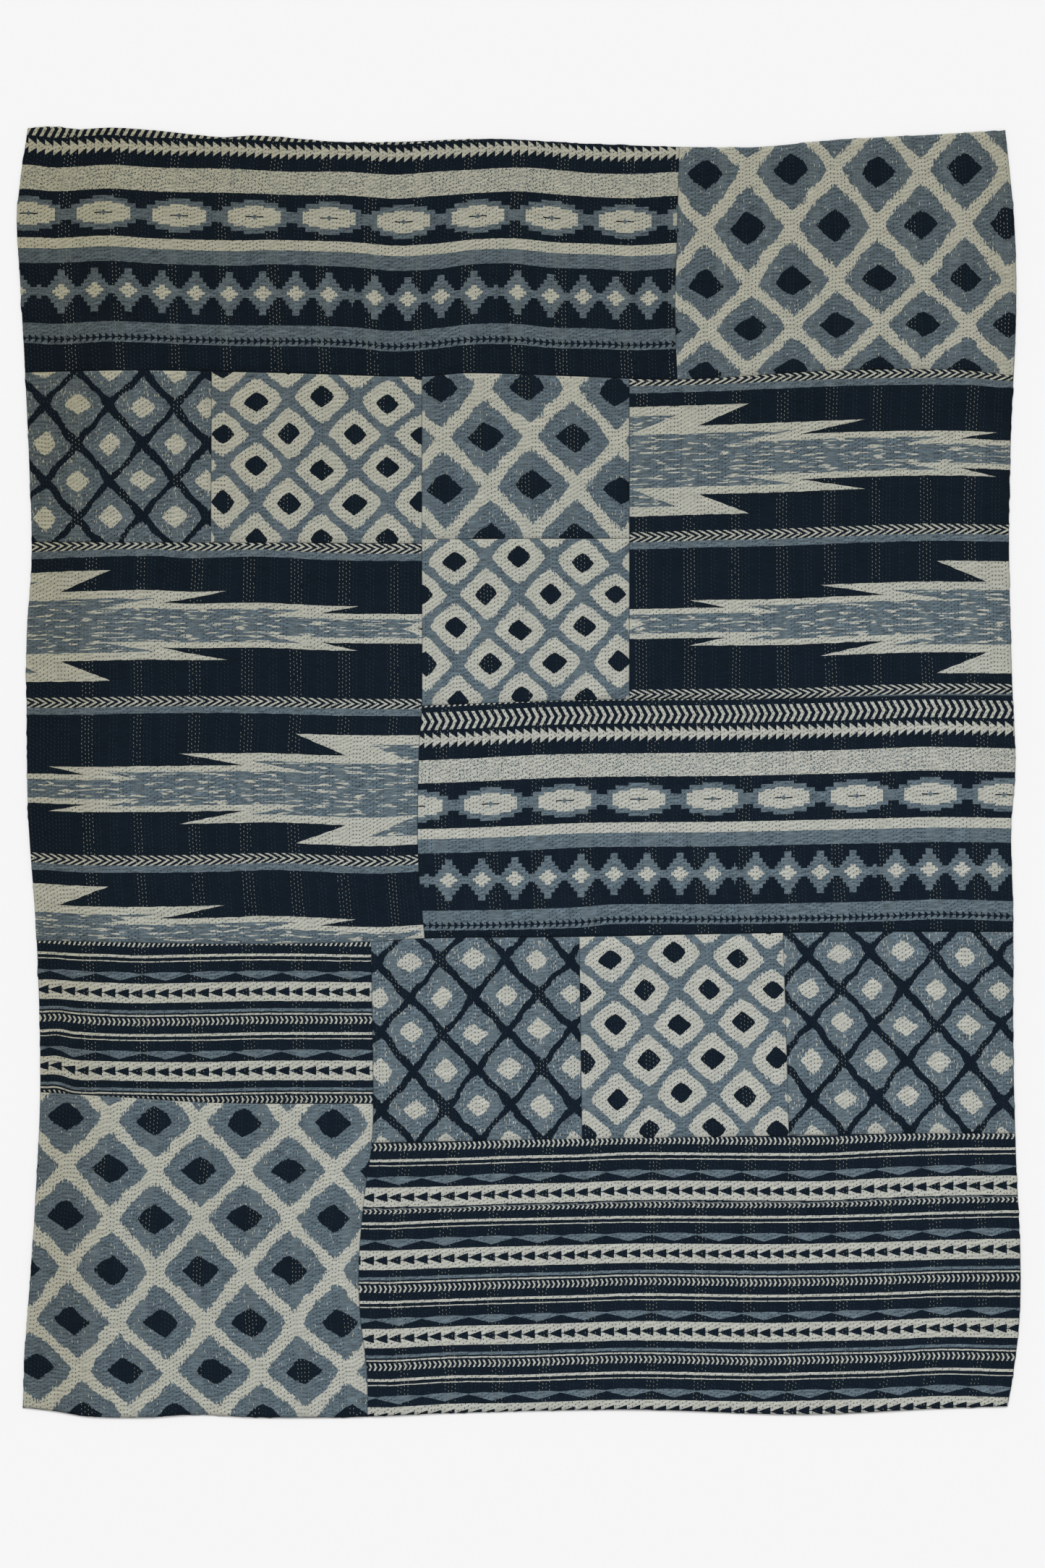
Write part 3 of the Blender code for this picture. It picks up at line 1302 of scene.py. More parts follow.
@dataclass(frozen=True)
class LowerCotton:
    """The lower cloth: plain deep indigo cotton with rows of running stitch.

    Attributes:
        colour: The cloth's two shades.
        thread: The colour of the stitches that come through.
        dash: The length of one stitch.
        dash_half: Its half width.
        dullness: How it takes the light.
    """

    colour: tuple[str, str] = ("1d252d", "262f38")
    thread: str = "7d7a6b"
    dash: float = 2.6
    dash_half: float = 0.55
    dullness: Dullness = Dullness()

    def material(self) -> Material:
        """Makes the material.

        Returns:
            The material.
        """
        # Dyed cotton gives the eye a plain, dull, deep blue with thin rows of dashes.
        made = bpy.data.materials.new("lower_cotton")
        made.use_nodes = True
        tree = made.node_tree
        cloth = Cloth.on(tree)
        # Each row starts its dashes at its own place, from one grain longer than the quilt
        start = cloth.grains((COLUMN_PITCH, 5000.0), 2.0) * STITCH_PITCH
        row = abs(cloth.across.wrap(COLUMN_PITCH) - COLUMN_PITCH / 2).under(self.dash_half)
        stitch = (cloth.down + start).wrap(STITCH_PITCH).under(self.dash)
        tint = cloth.noise((40.0, 40.0), 2.0, 3.0)
        plain = add_node(
            tree,
            "ShaderNodeMix",
            {0: tint, 6: linear(self.colour[0]), 7: linear(self.colour[1])},
            data_type="RGBA",
        )
        sewn = add_node(
            tree,
            "ShaderNodeMix",
            {0: row * stitch, 6: plain.outputs[2], 7: linear(self.thread)},
            data_type="RGBA",
        )
        shader = tree.nodes["Principled BSDF"]
        tree.links.new(sewn.outputs[2], shader.inputs["Base Color"])
        self.dullness.dress(shader)
        return made


# How a print lies


@dataclass(frozen=True)
class Ruler:
    """A wavy line on the quilt along which the print's own down is the same.

    Attributes:
        down: That place down the print.
        points: The line on the quilt, as (x, y) points.
        drop: How much further down the quilt the line lies than its points.
    """

    down: float
    points: Points
    drop: float = 0.0

    def at(self, x: Array) -> Array:
        """Returns the line's y at each x."""
        return Line("ruler", self.points).at(x) - self.drop


@dataclass(frozen=True)
class Lay:
    """How a print lies on a patch.

    Attributes:
        start: The x at which the print's own across is 0.
        stretch: How much of the print goes on a millimetre of the patch.
        rulers: Lines of known down, from the top of the patch to its bottom.
        lean: How far the print has moved to the right at places down it.
        drift: How far it has moved to the right at places across the quilt.
    """

    start: float
    stretch: float
    rulers: Sequence[Ruler]
    lean: Points = ()
    drift: Points = ()

    def across(self, x: Array, down: Array) -> Array:
        """Returns the place across the print at each x and place down it.

        Args:
            x: Places across the quilt.
            down: Places down it.

        Returns:
            The places across the print.
        """
        moved = Line("lean", self.lean).at(down) if self.lean else 0.0
        moved = moved + (Line("drift", self.drift).at(x) if self.drift else 0.0)
        return (x - self.start - moved) * self.stretch

    def down(self, x: Array, y: Array) -> Array:
        """Returns the place down the print at each place of the patch.

        Args:
            x: Places across the quilt.
            y: Places along it.

        Returns:
            The places down the print.
        """
        first = self.rulers[0]
        down = first.down + first.at(x) - y
        for upper, lower in zip(self.rulers, self.rulers[1:]):
            top, low = upper.at(x), lower.at(x)
            share = (top - y) / (top - low)
            between = upper.down + share * (lower.down - upper.down)
            down = np.where(y < top, between, down)
        last = self.rulers[-1]
        return np.where(y < last.at(x), last.down + last.at(x) - y, down)


FINE_FIRST_HILLS = (
    (-179, -580), (-93, -578), (-7, -575), (79, -573), (165, -570), (337, -571), (423, -571),
    (508, -567), (594, -564), (680, -563),
)

LAYS: dict[str, Lay] = {
    "bands_top_left": Lay(-684.8, 1.0, (
        Ruler(0, (
            (-684, 851), (-644, 847), (-573, 851), (-507, 847), (-396, 845), (-320, 841),
            (-240, 841), (-174, 837), (-118, 841), (-63, 844), (3, 847), (49, 844),
            (104, 839), (160, 838), (220, 841),
        )),
        Ruler(132.9, (
            (-684, 712), (-644, 712), (-573, 715), (-507, 711), (-396, 708), (-341, 710),
            (-229, 706), (-174, 701), (-118, 703), (-63, 710), (-7, 711), (49, 705),
            (104, 704), (160, 701), (220, 705),
        )),
        Ruler(243.6, (
            (-684, 600), (-644, 598), (-573, 602), (-507, 600), (-396, 596), (-285, 595),
            (-229, 593), (-174, 588), (-118, 592), (-63, 598), (-7, 598), (49, 593),
            (104, 592), (160, 590), (220, 592),
        )),
    ), drift=((-600, 0), (-400, 3), (0, 2.5), (150, 0))),
    "bands_right": Lay(-145.0, 1.012, (
        Ruler(0, (
            (-138, 17), (-68, 20), (33, 25), (134, 27), (286, 28), (387, 30), (488, 33),
            (564, 36), (690, 34),
        ), -1.2),
        Ruler(132.9, (
            (-118, -114), (-17, -111), (84, -106), (134, -105), (286, -104), (438, -101),
            (539, -99), (589, -98), (690, -99),
        ), -0.8),
        Ruler(243.6, (
            (-118, -221), (-17, -220), (84, -217), (134, -212), (286, -212), (438, -210),
            (539, -207), (589, -205), (690, -208),
        )),
    ), drift=((-138, 2), (90, 4), (270, 4.5), (360, 1), (500, 0))),
    "flames_right": Lay(322.4, 1.0, (
        Ruler(0, ((165, 529), (266, 532), (367, 536), (468, 540), (620, 541), (680, 537))),
        Ruler(218.35, ((165, 311), (266, 314), (367, 316), (468, 320), (569, 323), (680, 322))),
        Ruler(436.7, ((165, 91), (266, 92), (367, 92), (468, 96), (569, 99), (680, 99))),
    )),
    "flames_left": Lay(-573.1, 1.0, (
        Ruler(0, (
            (-679, 297), (-614, 300), (-512, 302), (-462, 299), (-361, 301), (-260, 296),
            (-138, 295),
        )),
        Ruler(218.35, (
            (-679, 80), (-614, 80), (-512, 82), (-361, 82), (-260, 79), (-138, 78),
        )),
        Ruler(436.7, (
            (-679, -136), (-614, -140), (-512, -141), (-411, -139), (-341, -137),
            (-209, -142), (-138, -139),
        )),
    ), lean=((0, 3), (210, 3), (225, 0), (436, 0))),
    "stripes_left": Lay(-655.0, 1.0, (
        Ruler(0, (
            (-664, -239), (-620, -242), (-575, -243), (-531, -245), (-442, -243),
            (-353, -242), (-219, -244),
        )),
        Ruler(110, (
            (-664, -349), (-644, -348), (-620, -351), (-575, -354), (-531, -355),
            (-442, -354), (-353, -352), (-219, -352),
        )),
        Ruler(189.3, (
            (-664, -424), (-644, -424), (-620, -431), (-575, -432), (-531, -433),
            (-442, -434), (-353, -432), (-219, -432),
        )),
    )),
    "stripes_bottom": Lay(-200.0, 1.0, (
        Ruler(50.0, FINE_FIRST_HILLS),
        Ruler(79.3, FINE_FIRST_HILLS, 29.3),
        Ruler(98.7, FINE_FIRST_HILLS, 29.9),
        Ruler(110, (
            (-179, -618), (-93, -614), (-7, -612), (165, -609), (337, -609), (423, -608),
            (508, -606), (594, -603), (680, -601),
        )),
        Ruler(220, (
            (-179, -728), (-93, -725), (-7, -722), (79, -720), (165, -717), (337, -719),
            (423, -718), (508, -716), (594, -713), (680, -712),
        )),
        Ruler(330, (
            (-179, -837), (-93, -832), (-7, -831), (79, -828), (165, -826), (337, -829),
            (423, -827), (508, -825), (594, -821), (680, -823),
        )),
    ), drift=((-200, 0), (80, 0), (560, -13))),
    "large_top_right": Lay(260.8, 1.0125, (
        Ruler(0, ((261, 835), (384, 843), (502, 839), (624, 845))),
        Ruler(143.6, ((261, 679), (380, 684), (502, 689), (624, 689))),
        Ruler(287.2, ((259, 557), (382, 562), (502, 564), (623, 562))),
    ), lean=((0, 0), (100, 0), (190, 4), (287, 0))),
    "large_middle": Lay(-110.2, 0.996, (
        Ruler(0, ((-112, 536), (9, 539), (133, 531))),
        Ruler(143.6, ((-108, 395), (22, 402), (136, 394))),
    ), lean=((0, 0), (72, 3.5), (143, 8))),
    "large_bottom_left": Lay(-632.8, 0.982, (
        Ruler(0, ((-635, -482), (-512, -488), (-385, -491), (-250, -491))),
        Ruler(143.6, ((-629, -619), (-507, -625), (-381, -622), (-256, -623))),
        Ruler(287.2, ((-664, -766), (-507, -770), (-256, -770))),
        Ruler(359, ((-664, -830), (-560, -837), (-256, -838))),
        Ruler(430.8, ((-664, -896), (-256, -901))),
    ), lean=((0, 0), (215, 2), (287, 9), (359, 21), (430, 27))),
    "small_upper": Lay(-366.9, 0.989, (
        Ruler(0, ((-369, 516), (-276, 526), (-185, 514))),
        Ruler(97, ((-365, 430), (-274, 422), (-183, 428))),
        Ruler(194, ((-365, 326), (-183, 326))),
    )),
    "small_middle": Lay(-89.9, 1.011, (
        Ruler(0, ((-92, 293), (1, 302), (88, 292))),
        Ruler(97, ((-85, 204), (6, 198), (94, 206))),
        Ruler(194, ((-83, 99), (9, 107), (97, 103))),
    ), lean=((0, 0), (70, 0), (130, 5), (194, 5))),
    "small_lower": Lay(125.5, 1.017, (
        Ruler(0, ((124, -264), (214, -251), (303, -261))),
        Ruler(97, ((135, -351), (227, -353), (315, -347))),
        Ruler(194, ((139, -458), (231, -447), (318, -453))),
    ), lean=((0, 2), (97, 10), (194, 13))),
    "lattice_upper": Lay(-616.6, 0.989, (
        Ruler(0, ((-619, 514), (-520, 510), (-437, 510))),
        Ruler(101, ((-611, 406), (-532, 409), (-433, 407))),
    )),
    "lattice_lower": Lay(-153.0, 1.006, (
        Ruler(0, ((-155, -268), (-64, -260), (24, -262))),
        Ruler(101, ((-151, -362), (-59, -366), (32, -357))),
        Ruler(202, ((-143, -472), (-51, -465), (39, -467))),
    ), lean=((0, 0), (95, 3), (180, 7.5))),
    "lattice_right": Lay(450.0, 1.018, (
        Ruler(0, ((447, -256), (538, -249), (624, -258))),
        Ruler(101, ((451, -348), (541, -355), (630, -352))),
        Ruler(202, ((454, -457), (545, -451), (633, -461))),
    ), lean=((0, -2), (180, 6))),
}


# The pieces


@dataclass(frozen=True)
class Cut:
    """Where a patch is cut and which cloth it is cut from.

    Attributes:
        name: The patch's name, which its lay has too.
        cloth: The print.
        west: The line at its left.
        east: The line at its right.
        north: The line at its top.
        south: The line at its bottom.
    """

    name: str
    cloth: str
    west: str
    east: str
    north: str
    south: str


CUTS = (
    Cut("bands_top_left", "bands", "left", "beside_top_lozenges", "top", "under_top_patches"),
    Cut("large_top_right", "large_lozenges", "beside_top_lozenges", "right", "top",
        "under_top_patches"),
    Cut("lattice_upper", "lattice", "left", "beside_lattice", "under_top_patches",
        "over_left_flames"),
    Cut("small_upper", "small_lozenges", "beside_lattice", "left_of_middle",
        "under_top_patches", "over_left_flames"),
    Cut("large_middle", "large_lozenges", "left_of_middle", "right_of_middle",
        "under_top_patches", "over_small_lozenges"),
    Cut("small_middle", "small_lozenges", "left_of_middle", "right_of_middle",
        "over_small_lozenges", "over_second_bands"),
    Cut("flames_right", "flames", "right_of_middle", "right", "under_top_patches",
        "over_second_bands"),
    Cut("flames_left", "flames", "left", "left_of_middle", "over_left_flames",
        "across_the_middle"),
    Cut("bands_right", "bands", "left_of_middle", "right", "over_second_bands",
        "across_the_middle"),
    Cut("stripes_left", "fine_stripes", "left", "beside_stripes", "across_the_middle",
        "under_fine_stripes"),
    Cut("large_bottom_left", "large_lozenges", "left", "beside_stripes",
        "under_fine_stripes", "bottom"),
    Cut("lattice_lower", "lattice", "beside_stripes", "beside_low_lattice",
        "across_the_middle", "over_last_stripes"),
    Cut("small_lower", "small_lozenges", "beside_low_lattice", "beside_low_lozenges",
        "across_the_middle", "over_last_stripes"),
    Cut("lattice_right", "lattice", "beside_low_lozenges", "right", "across_the_middle",
        "over_last_stripes"),
    Cut("stripes_bottom", "fine_stripes", "beside_stripes", "right", "over_last_stripes",
        "bottom"),
)


@dataclass(frozen=True)
class Grid:
    """A rectangle of points on the cloth, between four lines.

    Attributes:
        x: The points' places across, by column and row.
        y: The points' places along.
        gaps: How far each point is from the west, east, north and south line.
    """

    x: Array
    y: Array
    gaps: tuple[Array, Array, Array, Array]

    def numbers(self) -> Array:
        """Returns the number of each point, by column and row."""
        return np.arange(self.x.size).reshape(self.x.shape)

    def rim(self) -> list[int]:
        """Returns the outer points once round, anticlockwise seen from above."""
        number = self.numbers()
        return [*number[:-1, 0], *number[-1, :-1], *number[:0:-1, -1], *number[0, :0:-1]]

    def faces(self) -> Array:
        """Works out the four-cornered faces, anticlockwise seen from above.

        Returns:
            Four point numbers for each face.
        """
        number = self.numbers()
        corners = (number[:-1, :-1], number[1:, :-1], number[1:, 1:], number[:-1, 1:])
        return np.stack([corner.ravel() for corner in corners], axis=1)


def grid_between(
    lines: tuple[Line, Line, Line, Line], shares: tuple[Array, Array], shy: float
) -> Grid:
    """Spreads points evenly between four wandering lines.

    Args:
        lines: The lines at the west, east, north and south.
        shares: The columns' and the rows' places, from 0 to 1.
        shy: How far the points stay inside a seam.

    Returns:
        The points.
    """
    west_line, east_line, north_line, south_line = lines
    share_x, share_y = np.meshgrid(*shares, indexing="ij")
    x = west_line.points[0][1] + share_x * 0
    y = south_line.points[0][1] + share_y * 0
    inside = [shy if line.sewn else 0.0 for line in lines]
    for _ in range(8):
        west, east = west_line.at(y) + inside[0], east_line.at(y) - inside[1]
        x = west + (east - west) * share_x
        north, south = north_line.at(x) - inside[2], south_line.at(x) + inside[3]
        y = south + (north - south) * share_y
    return Grid(x, y, (x - west, east - x, north - y, y - south))


def new_object(name: str, mesh: Mesh) -> Object:
    """Links a new object with this mesh into the scene.

    Args:
        name: Its name.
        mesh: Its mesh.

    Returns:
        The object.
    """
    made = bpy.data.objects.new(name, mesh)
    bpy.context.scene.collection.objects.link(made)
    return made


def set_uv(mesh: Mesh, name: str, places: Array) -> None:
    """Gives a mesh a UV map from one place for each face corner."""
    layer = mesh.uv_layers.new(name=name)
    layer.data.foreach_set("uv", places.astype(np.float32).ravel())


def bake_places(verts: Array, rim: float) -> tuple[Array, Array, Array]:
    """Lays the two sides of a sheet out on its bake map.

    Args:
        verts: The sheet's vertices.
        rim: How far from the middle its rim begins, as a share of its size.

    Returns:
        The place of each vertex on the side that shows, its place on the other side, which
        gets a low strip, and on which rim it is: -1, 0 or 1 across and along.
    """
    low, high = verts[:, :2].min(0), verts[:, :2].max(0)
    share = (verts[:, :2] - low) / (high - low)
    shown = np.array([0.02, 0.09]) + np.array([0.96, 0.89]) * share
    hidden = np.array([0.02, 0.01]) + np.array([0.96, 0.05]) * share
    return shown, hidden, np.sign(share - 0.5) * (np.abs(share - 0.5) > rim)


def corner_verts(mesh: Mesh) -> Array:
    """Returns the number of the vertex at each face corner.

    Args:
        mesh: The mesh.

    Returns:
        The numbers.
    """
    made = np.zeros(len(mesh.loops), np.int32)
    mesh.loops.foreach_get("vertex_index", made)
    return made


@dataclass(frozen=True)
class Waver:
    """A soft random unevenness of hand work.

    Attributes:
        most: The most that it lifts or moves the cloth, either way.
        size: Its grain across and along.
        seed: What is added to the patch's own seed.
    """

    most: float
    size: Pair
    seed: int

    def at(self, x: Array, y: Array, seed: int) -> Array:
        """Returns the unevenness at each place of the patch with the given seed."""
        return self.most * smooth_noise(x, y, self.size, seed + self.seed)


@dataclass(frozen=True)
class ThreadGroups:
    """Which thread the maker took for each upright row.

    Light threads lie in groups of four rows, with dark ones beside a group.

    Attributes:
        middles: The groups' middles at the top end, on x.
        lean: How far right they have moved at places along the quilt.
        light: How far to each side of a middle the light rows reach.
        dark: From where to where the dark rows lie, at a group's left and at its right.
    """

    middles: tuple[float, ...] = (
        -628, -559, -481, -408, -339, -271, -203, -137, -67, 0, 66, 156, 224, 289, 352, 420,
        485, 553, 617, 684,
    )
    lean: Points = ((-660, 32), (70, 25), (600, 0), (900, -12))
    light: float = 9.2
    dark: Points = ((-25, -10), (20, 29))

    def threads(self, x: Array, y: float) -> Array:
        """Chooses the threads.

        Args:
            x: The rows' places across the quilt.
            y: The place along it at which they were taken.

        Returns:
            The number of each row's thread.
        """
        moved = Line("thread_lean", self.lean).at(np.array(y))
        off = x[:, None] - np.array(self.middles) - moved
        phase = np.take_along_axis(off, np.abs(off).argmin(1)[:, None], 1)[:, 0]
        made = np.full(x.shape, Thread.SLATE.value)
        for start, end in self.dark:
            made[(phase > start) & (phase < end)] = Thread.DARK.value
        made[np.abs(phase) < self.light] = Thread.ECRU.value
        return made


@dataclass
class Patch:
    """One printed patch of the top, with the stitches that go through it.

    Attributes:
        cut: Its borders and its cloth.
        relief: The quilt's height.
        centre: The middle of the outline's box, which goes to the origin.
        seed: Makes this patch's small unevenness.
        border_steps: How far in from a border its outer mesh lines are.
        shy: How far the patch stays inside a seam.
        seam_roll: How far the cloth rolls down into a seam.
        seam_roll_width: How wide that roll is.
        edge_roll_width: How wide the roll at the quilt's own edge is.
        foot: How far the top stays over its foot.
        calm: How far from a border the rows run straight.
        calm_width: How far from there they have their full wander.
        wander_along: How the stitches' lying lines wander.
        wander_across: How the upright rows wander.
        ripple: How high the puckers stand and how deep the dimples lie.
        ripple_width: How far from a border the puckers have their full height.
        pull: How strongly the thread is pulled, beyond its even share.
        even_pull: The even share.
        puffs: The soft puffs of the cloth between the stitches.
        edge_lumps: The lumps of the turned-in edge, which are the same for all patches.
        turned_stagger: The share of rows that don't alternate with the one before.
        sewn_share: The share of stitches that show.
        thread_lift: How far a thread's middle lies over the dimple.
        hand: How far a stitch is off its place.
        groups: The threads of the rows.
    """

    cut: Cut
    relief: Relief
    centre: Array
    seed: int
    border_steps: tuple[float, ...] = (0.0, 0.8, 2.2)
    shy: float = 0.12
    seam_roll: float = 1.1
    seam_roll_width: float = 2.5
    edge_roll_width: float = 6.0
    foot: float = 0.05
    calm: float = 2.0
    calm_width: float = 6.0
    wander_along: tuple[Waver, ...] = (Waver(1.5, (17, 50), 1), Waver(0.5, (6, 30), 2))
    wander_across: Waver = Waver(0.9, (40, 60), 3)
    ripple: float = 0.38
    ripple_width: float = 4.0
    pull: tuple[Waver, ...] = (Waver(0.55, (21, 13), 4), Waver(0.25, (5, 6), 5))
    even_pull: float = 0.8
    puffs: tuple[Waver, ...] = (Waver(0.42, (24, 4.4), 6), Waver(0.3, (26, 60), 7))
    edge_lumps: tuple[Waver, ...] = (Waver(0.8, (6.5, 6.5), 71), Waver(0.7, (17, 17), 72))
    turned_stagger: float = 0.3
    sewn_share: float = 0.97
    thread_lift: float = 0.22
    hand: float = 0.22
    groups: ThreadGroups = ThreadGroups()

    def __post_init__(self) -> None:
        """Measures the patch and works out its rows and its stitches."""
        cut = self.cut
        self.lay = LAYS[cut.name]
        self.lines = (
            UPRIGHT[cut.west], UPRIGHT[cut.east], LYING[cut.north], LYING[cut.south],
        )
        ends = np.array([0.0, 0.25, 0.5, 0.75, 1.0])
        grid = grid_between(self.lines, (ends, ends), 0.0)
        wide, long = (grid.x[-1] - grid.x[0]).max(), (grid.y[:, -1] - grid.y[:, 0]).max()
        self.size = float(wide), float(long)
        self.columns = round(self.size[0] / COLUMN_PITCH)
        self.stitches = round(self.size[1] / STITCH_PITCH)
        rng = np.random.default_rng(self.seed + 30)
        lines = self.columns - 1 + 2 * len(self.border_steps)
        turned = rng.random(lines) < self.turned_stagger
        self.stagger = (np.arange(lines) + turned.cumsum()) % 2

    def shares(self, length: float, cells: int) -> Array:
        """Returns where the grid's lines lie, with fine ones along both borders."""
        border = np.array(self.border_steps) / length
        return np.concatenate([border, np.arange(1, cells) / cells, (1 - border)[::-1]])

    def points(self) -> tuple[Grid, Array, Array]:
        """Works out the quilted top.

        Returns:
            The points, their heights, and the painted shade at each one, which is most deep in a
            dimple and near a border.
        """
        shares = (
            self.shares(self.size[0], self.columns),
            self.shares(self.size[1], self.stitches * 2),
        )
        grid = grid_between(self.lines, shares, self.shy)
        x, y = grid.x.copy(), grid.y.copy()
        inner = np.minimum.reduce(list(grid.gaps))
        fade = np.clip((inner - self.calm) / self.calm_width, 0, 1)
        for waver in self.wander_along:
            y += fade * waver.at(x, y, self.seed)
        x += fade * self.wander_across.at(x, y, self.seed)

        row = np.arange(x.shape[1])[None, :] - len(self.border_steps) + 1
        valley = np.where((row + self.stagger[:, None]) % 2 == 1, 1.0, -1.0)
        pull = self.even_pull + sum(waver.at(x, y, self.seed) for waver in self.pull)
        fade = np.clip(inner / self.ripple_width, 0, 1)
        self.lump(x, y)
        height = self.relief.height(x, y) - fade * self.ripple * pull * valley
        for waver in self.puffs:
            height += fade * waver.at(x, y, self.seed)
        for line, gap in zip(self.lines, grid.gaps):
            height = self.rolled(line, gap, height)
        # Painted shade: dark deep in a dimple, lighter on a pucker's ridge, and dark within 2 mm
        # of a border
        hollow_shade = np.clip(0.5 + 0.5 * valley * pull * fade, 0, 1)
        hollow_shade = np.maximum(hollow_shade, np.clip(1 - inner / 2.0, 0, 1))
        return Grid(x, y, grid.gaps), height, hollow_shade

    def lump(self, x: Array, y: Array) -> None:
        """Makes the turned-in edge a little lumpy, between its stitches.

        Args:
            x: The places across, which are changed.
            y: The places along, which are changed.
        """
        takes = (np.s_[0], np.s_[-1], np.s_[:, -1], np.s_[:, 0])
        for line, take, moved in zip(self.lines, takes, (x, x, y, y)):
            if not line.sewn:
                along_x, along_y = x[take].copy(), y[take].copy()
                moved[take] += sum(waver.at(along_x, along_y, 0) for waver in self.edge_lumps)

    def rolled(self, line: Line, gap: Array, height: Array) -> Array:
        """Rolls the cloth down into a seam or over the quilt's edge.

        Args:
            line: The border.
            gap: How far each point is from it.
            height: The heights so far.

        Returns:
            The new heights.
        """
        width = self.seam_roll_width if line.sewn else self.edge_roll_width
        rise = np.sqrt(1 - (1 - np.clip(gap / width, 0, 1)) ** 2)
        least = TOP_FROM + self.foot
        if line.sewn:
            return np.maximum(height - self.seam_roll * (1 - rise), least)
        return least + (height - least) * rise

    def build(self) -> Object:
        """Makes the patch as one closed sheet and returns it.

        Returns:
            The patch, without its finish.
        """
        grid, height, hollow_shade = self.points()
        top = np.stack([grid.x, grid.y, height], axis=2).reshape(-1, 3)
        rim = grid.rim()
        foot = top[rim].copy()
        foot[:, 2] = TOP_FROM
        verts = np.concatenate([top, foot])
        verts[:, :2] -= self.centre
        faces = grid.faces().tolist()
        count = len(rim)
        low = [len(top) + index for index in range(count)]
        for index in range(count):
            after = (index + 1) % count
            faces.append([rim[after], rim[index], low[index], low[after]])
        faces.append(low[::-1])

        mesh = bpy.data.meshes.new("patch_" + self.cut.name)
        mesh.from_pydata((verts * MM).tolist(), [], faces)
        mesh.polygons.foreach_set("use_smooth", [True] * (len(faces) - 1) + [False])
        place = verts[:, :2] + self.centre
        # The foot's points get the full painted shade, which darkens the patch's sides
        for name, values in (
            ("hollow_shade", np.concatenate([hollow_shade.ravel(), np.ones(count)])),
            ("tone", DarkeningAndSideShade().darkening(place[:, 0], place[:, 1])),
        ):
            made = mesh.attributes.new(name, "FLOAT", "POINT")
            made.data.foreach_set("value", values.astype(np.float32))
        self.set_maps(mesh, verts + np.array([*self.centre, 0.0]), len(top))
        return new_object("patch_" + self.cut.name, mesh)

    def set_maps(self, mesh: Mesh, verts: Array, top_count: int) -> None:
        """Gives the sheet the print's place and a map without overlaps.

        Args:
            mesh: The sheet.
            verts: Its vertices, in millimetres.
            top_count: How many of them are the top's; the rest are the foot's.
        """
        corners = corner_verts(mesh)
        down = self.lay.down(verts[:, 0], verts[:, 1])
        across = self.lay.across(verts[:, 0], down)
        set_uv(mesh, "Print", np.stack([across, down], axis=1)[corners])

        shown, hidden, rims = bake_places(verts, 0.49)
        shown[top_count:] += 0.006 * rims[top_count:]
        places = shown[corners]
        last = mesh.polygons[-1]
        ends = slice(last.loop_start, last.loop_start + last.loop_total)
        places[ends] = hidden[corners[ends]]
        set_uv(mesh, "OFBake", places)

    def stitch_points(self) -> tuple[Array, Array]:
        """Works out where this patch's stitches are.

        Returns:
            One place in metres and one thread number for each stitch.
        """
        grid, height, _ = self.points()
        edge = len(self.border_steps)
        inner = slice(edge, -edge)
        place = np.stack([grid.x, grid.y, height + self.thread_lift], axis=2)[inner, inner]
        middle = (self.lines[2].points[0][1] + self.lines[3].points[0][1]) / 2
        lines = self.groups.threads(place[:, place.shape[1] // 2, 0], middle)
        thread = np.repeat(lines[:, None], place.shape[1], axis=1)
        row = np.arange(place.shape[1])[None, :] + 1
        there = (row + self.stagger[inner, None]) % 2 == 1
        rng = np.random.default_rng(self.seed + 20)
        there &= rng.random(thread.shape) < self.sewn_share
        place = place[there]
        place[:, :2] += rng.normal(0, self.hand, (len(place), 2))
        place[:, :2] -= self.centre
        return place * MM, thread[there]

    def dress(self, piece: Object, cloths: dict[str, Material]) -> None:
        """Gives the patch its printed cotton."""
        piece.data.materials.append(cloths[self.cut.cloth])

    def declare(
        self,
        piece: Object,
        stitches: Object,
        panels: Sequence[Object],
    ) -> None:
        """Hides the model's quilt part and puts the patch and its stitches under the root body.

        Args:
            piece: The patch.
            stitches: Its stitches.
            panels: The lower cloth. Not used.
        """
        for part in (piece, stitches):
            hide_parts(NODE)
            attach(part, BODY)


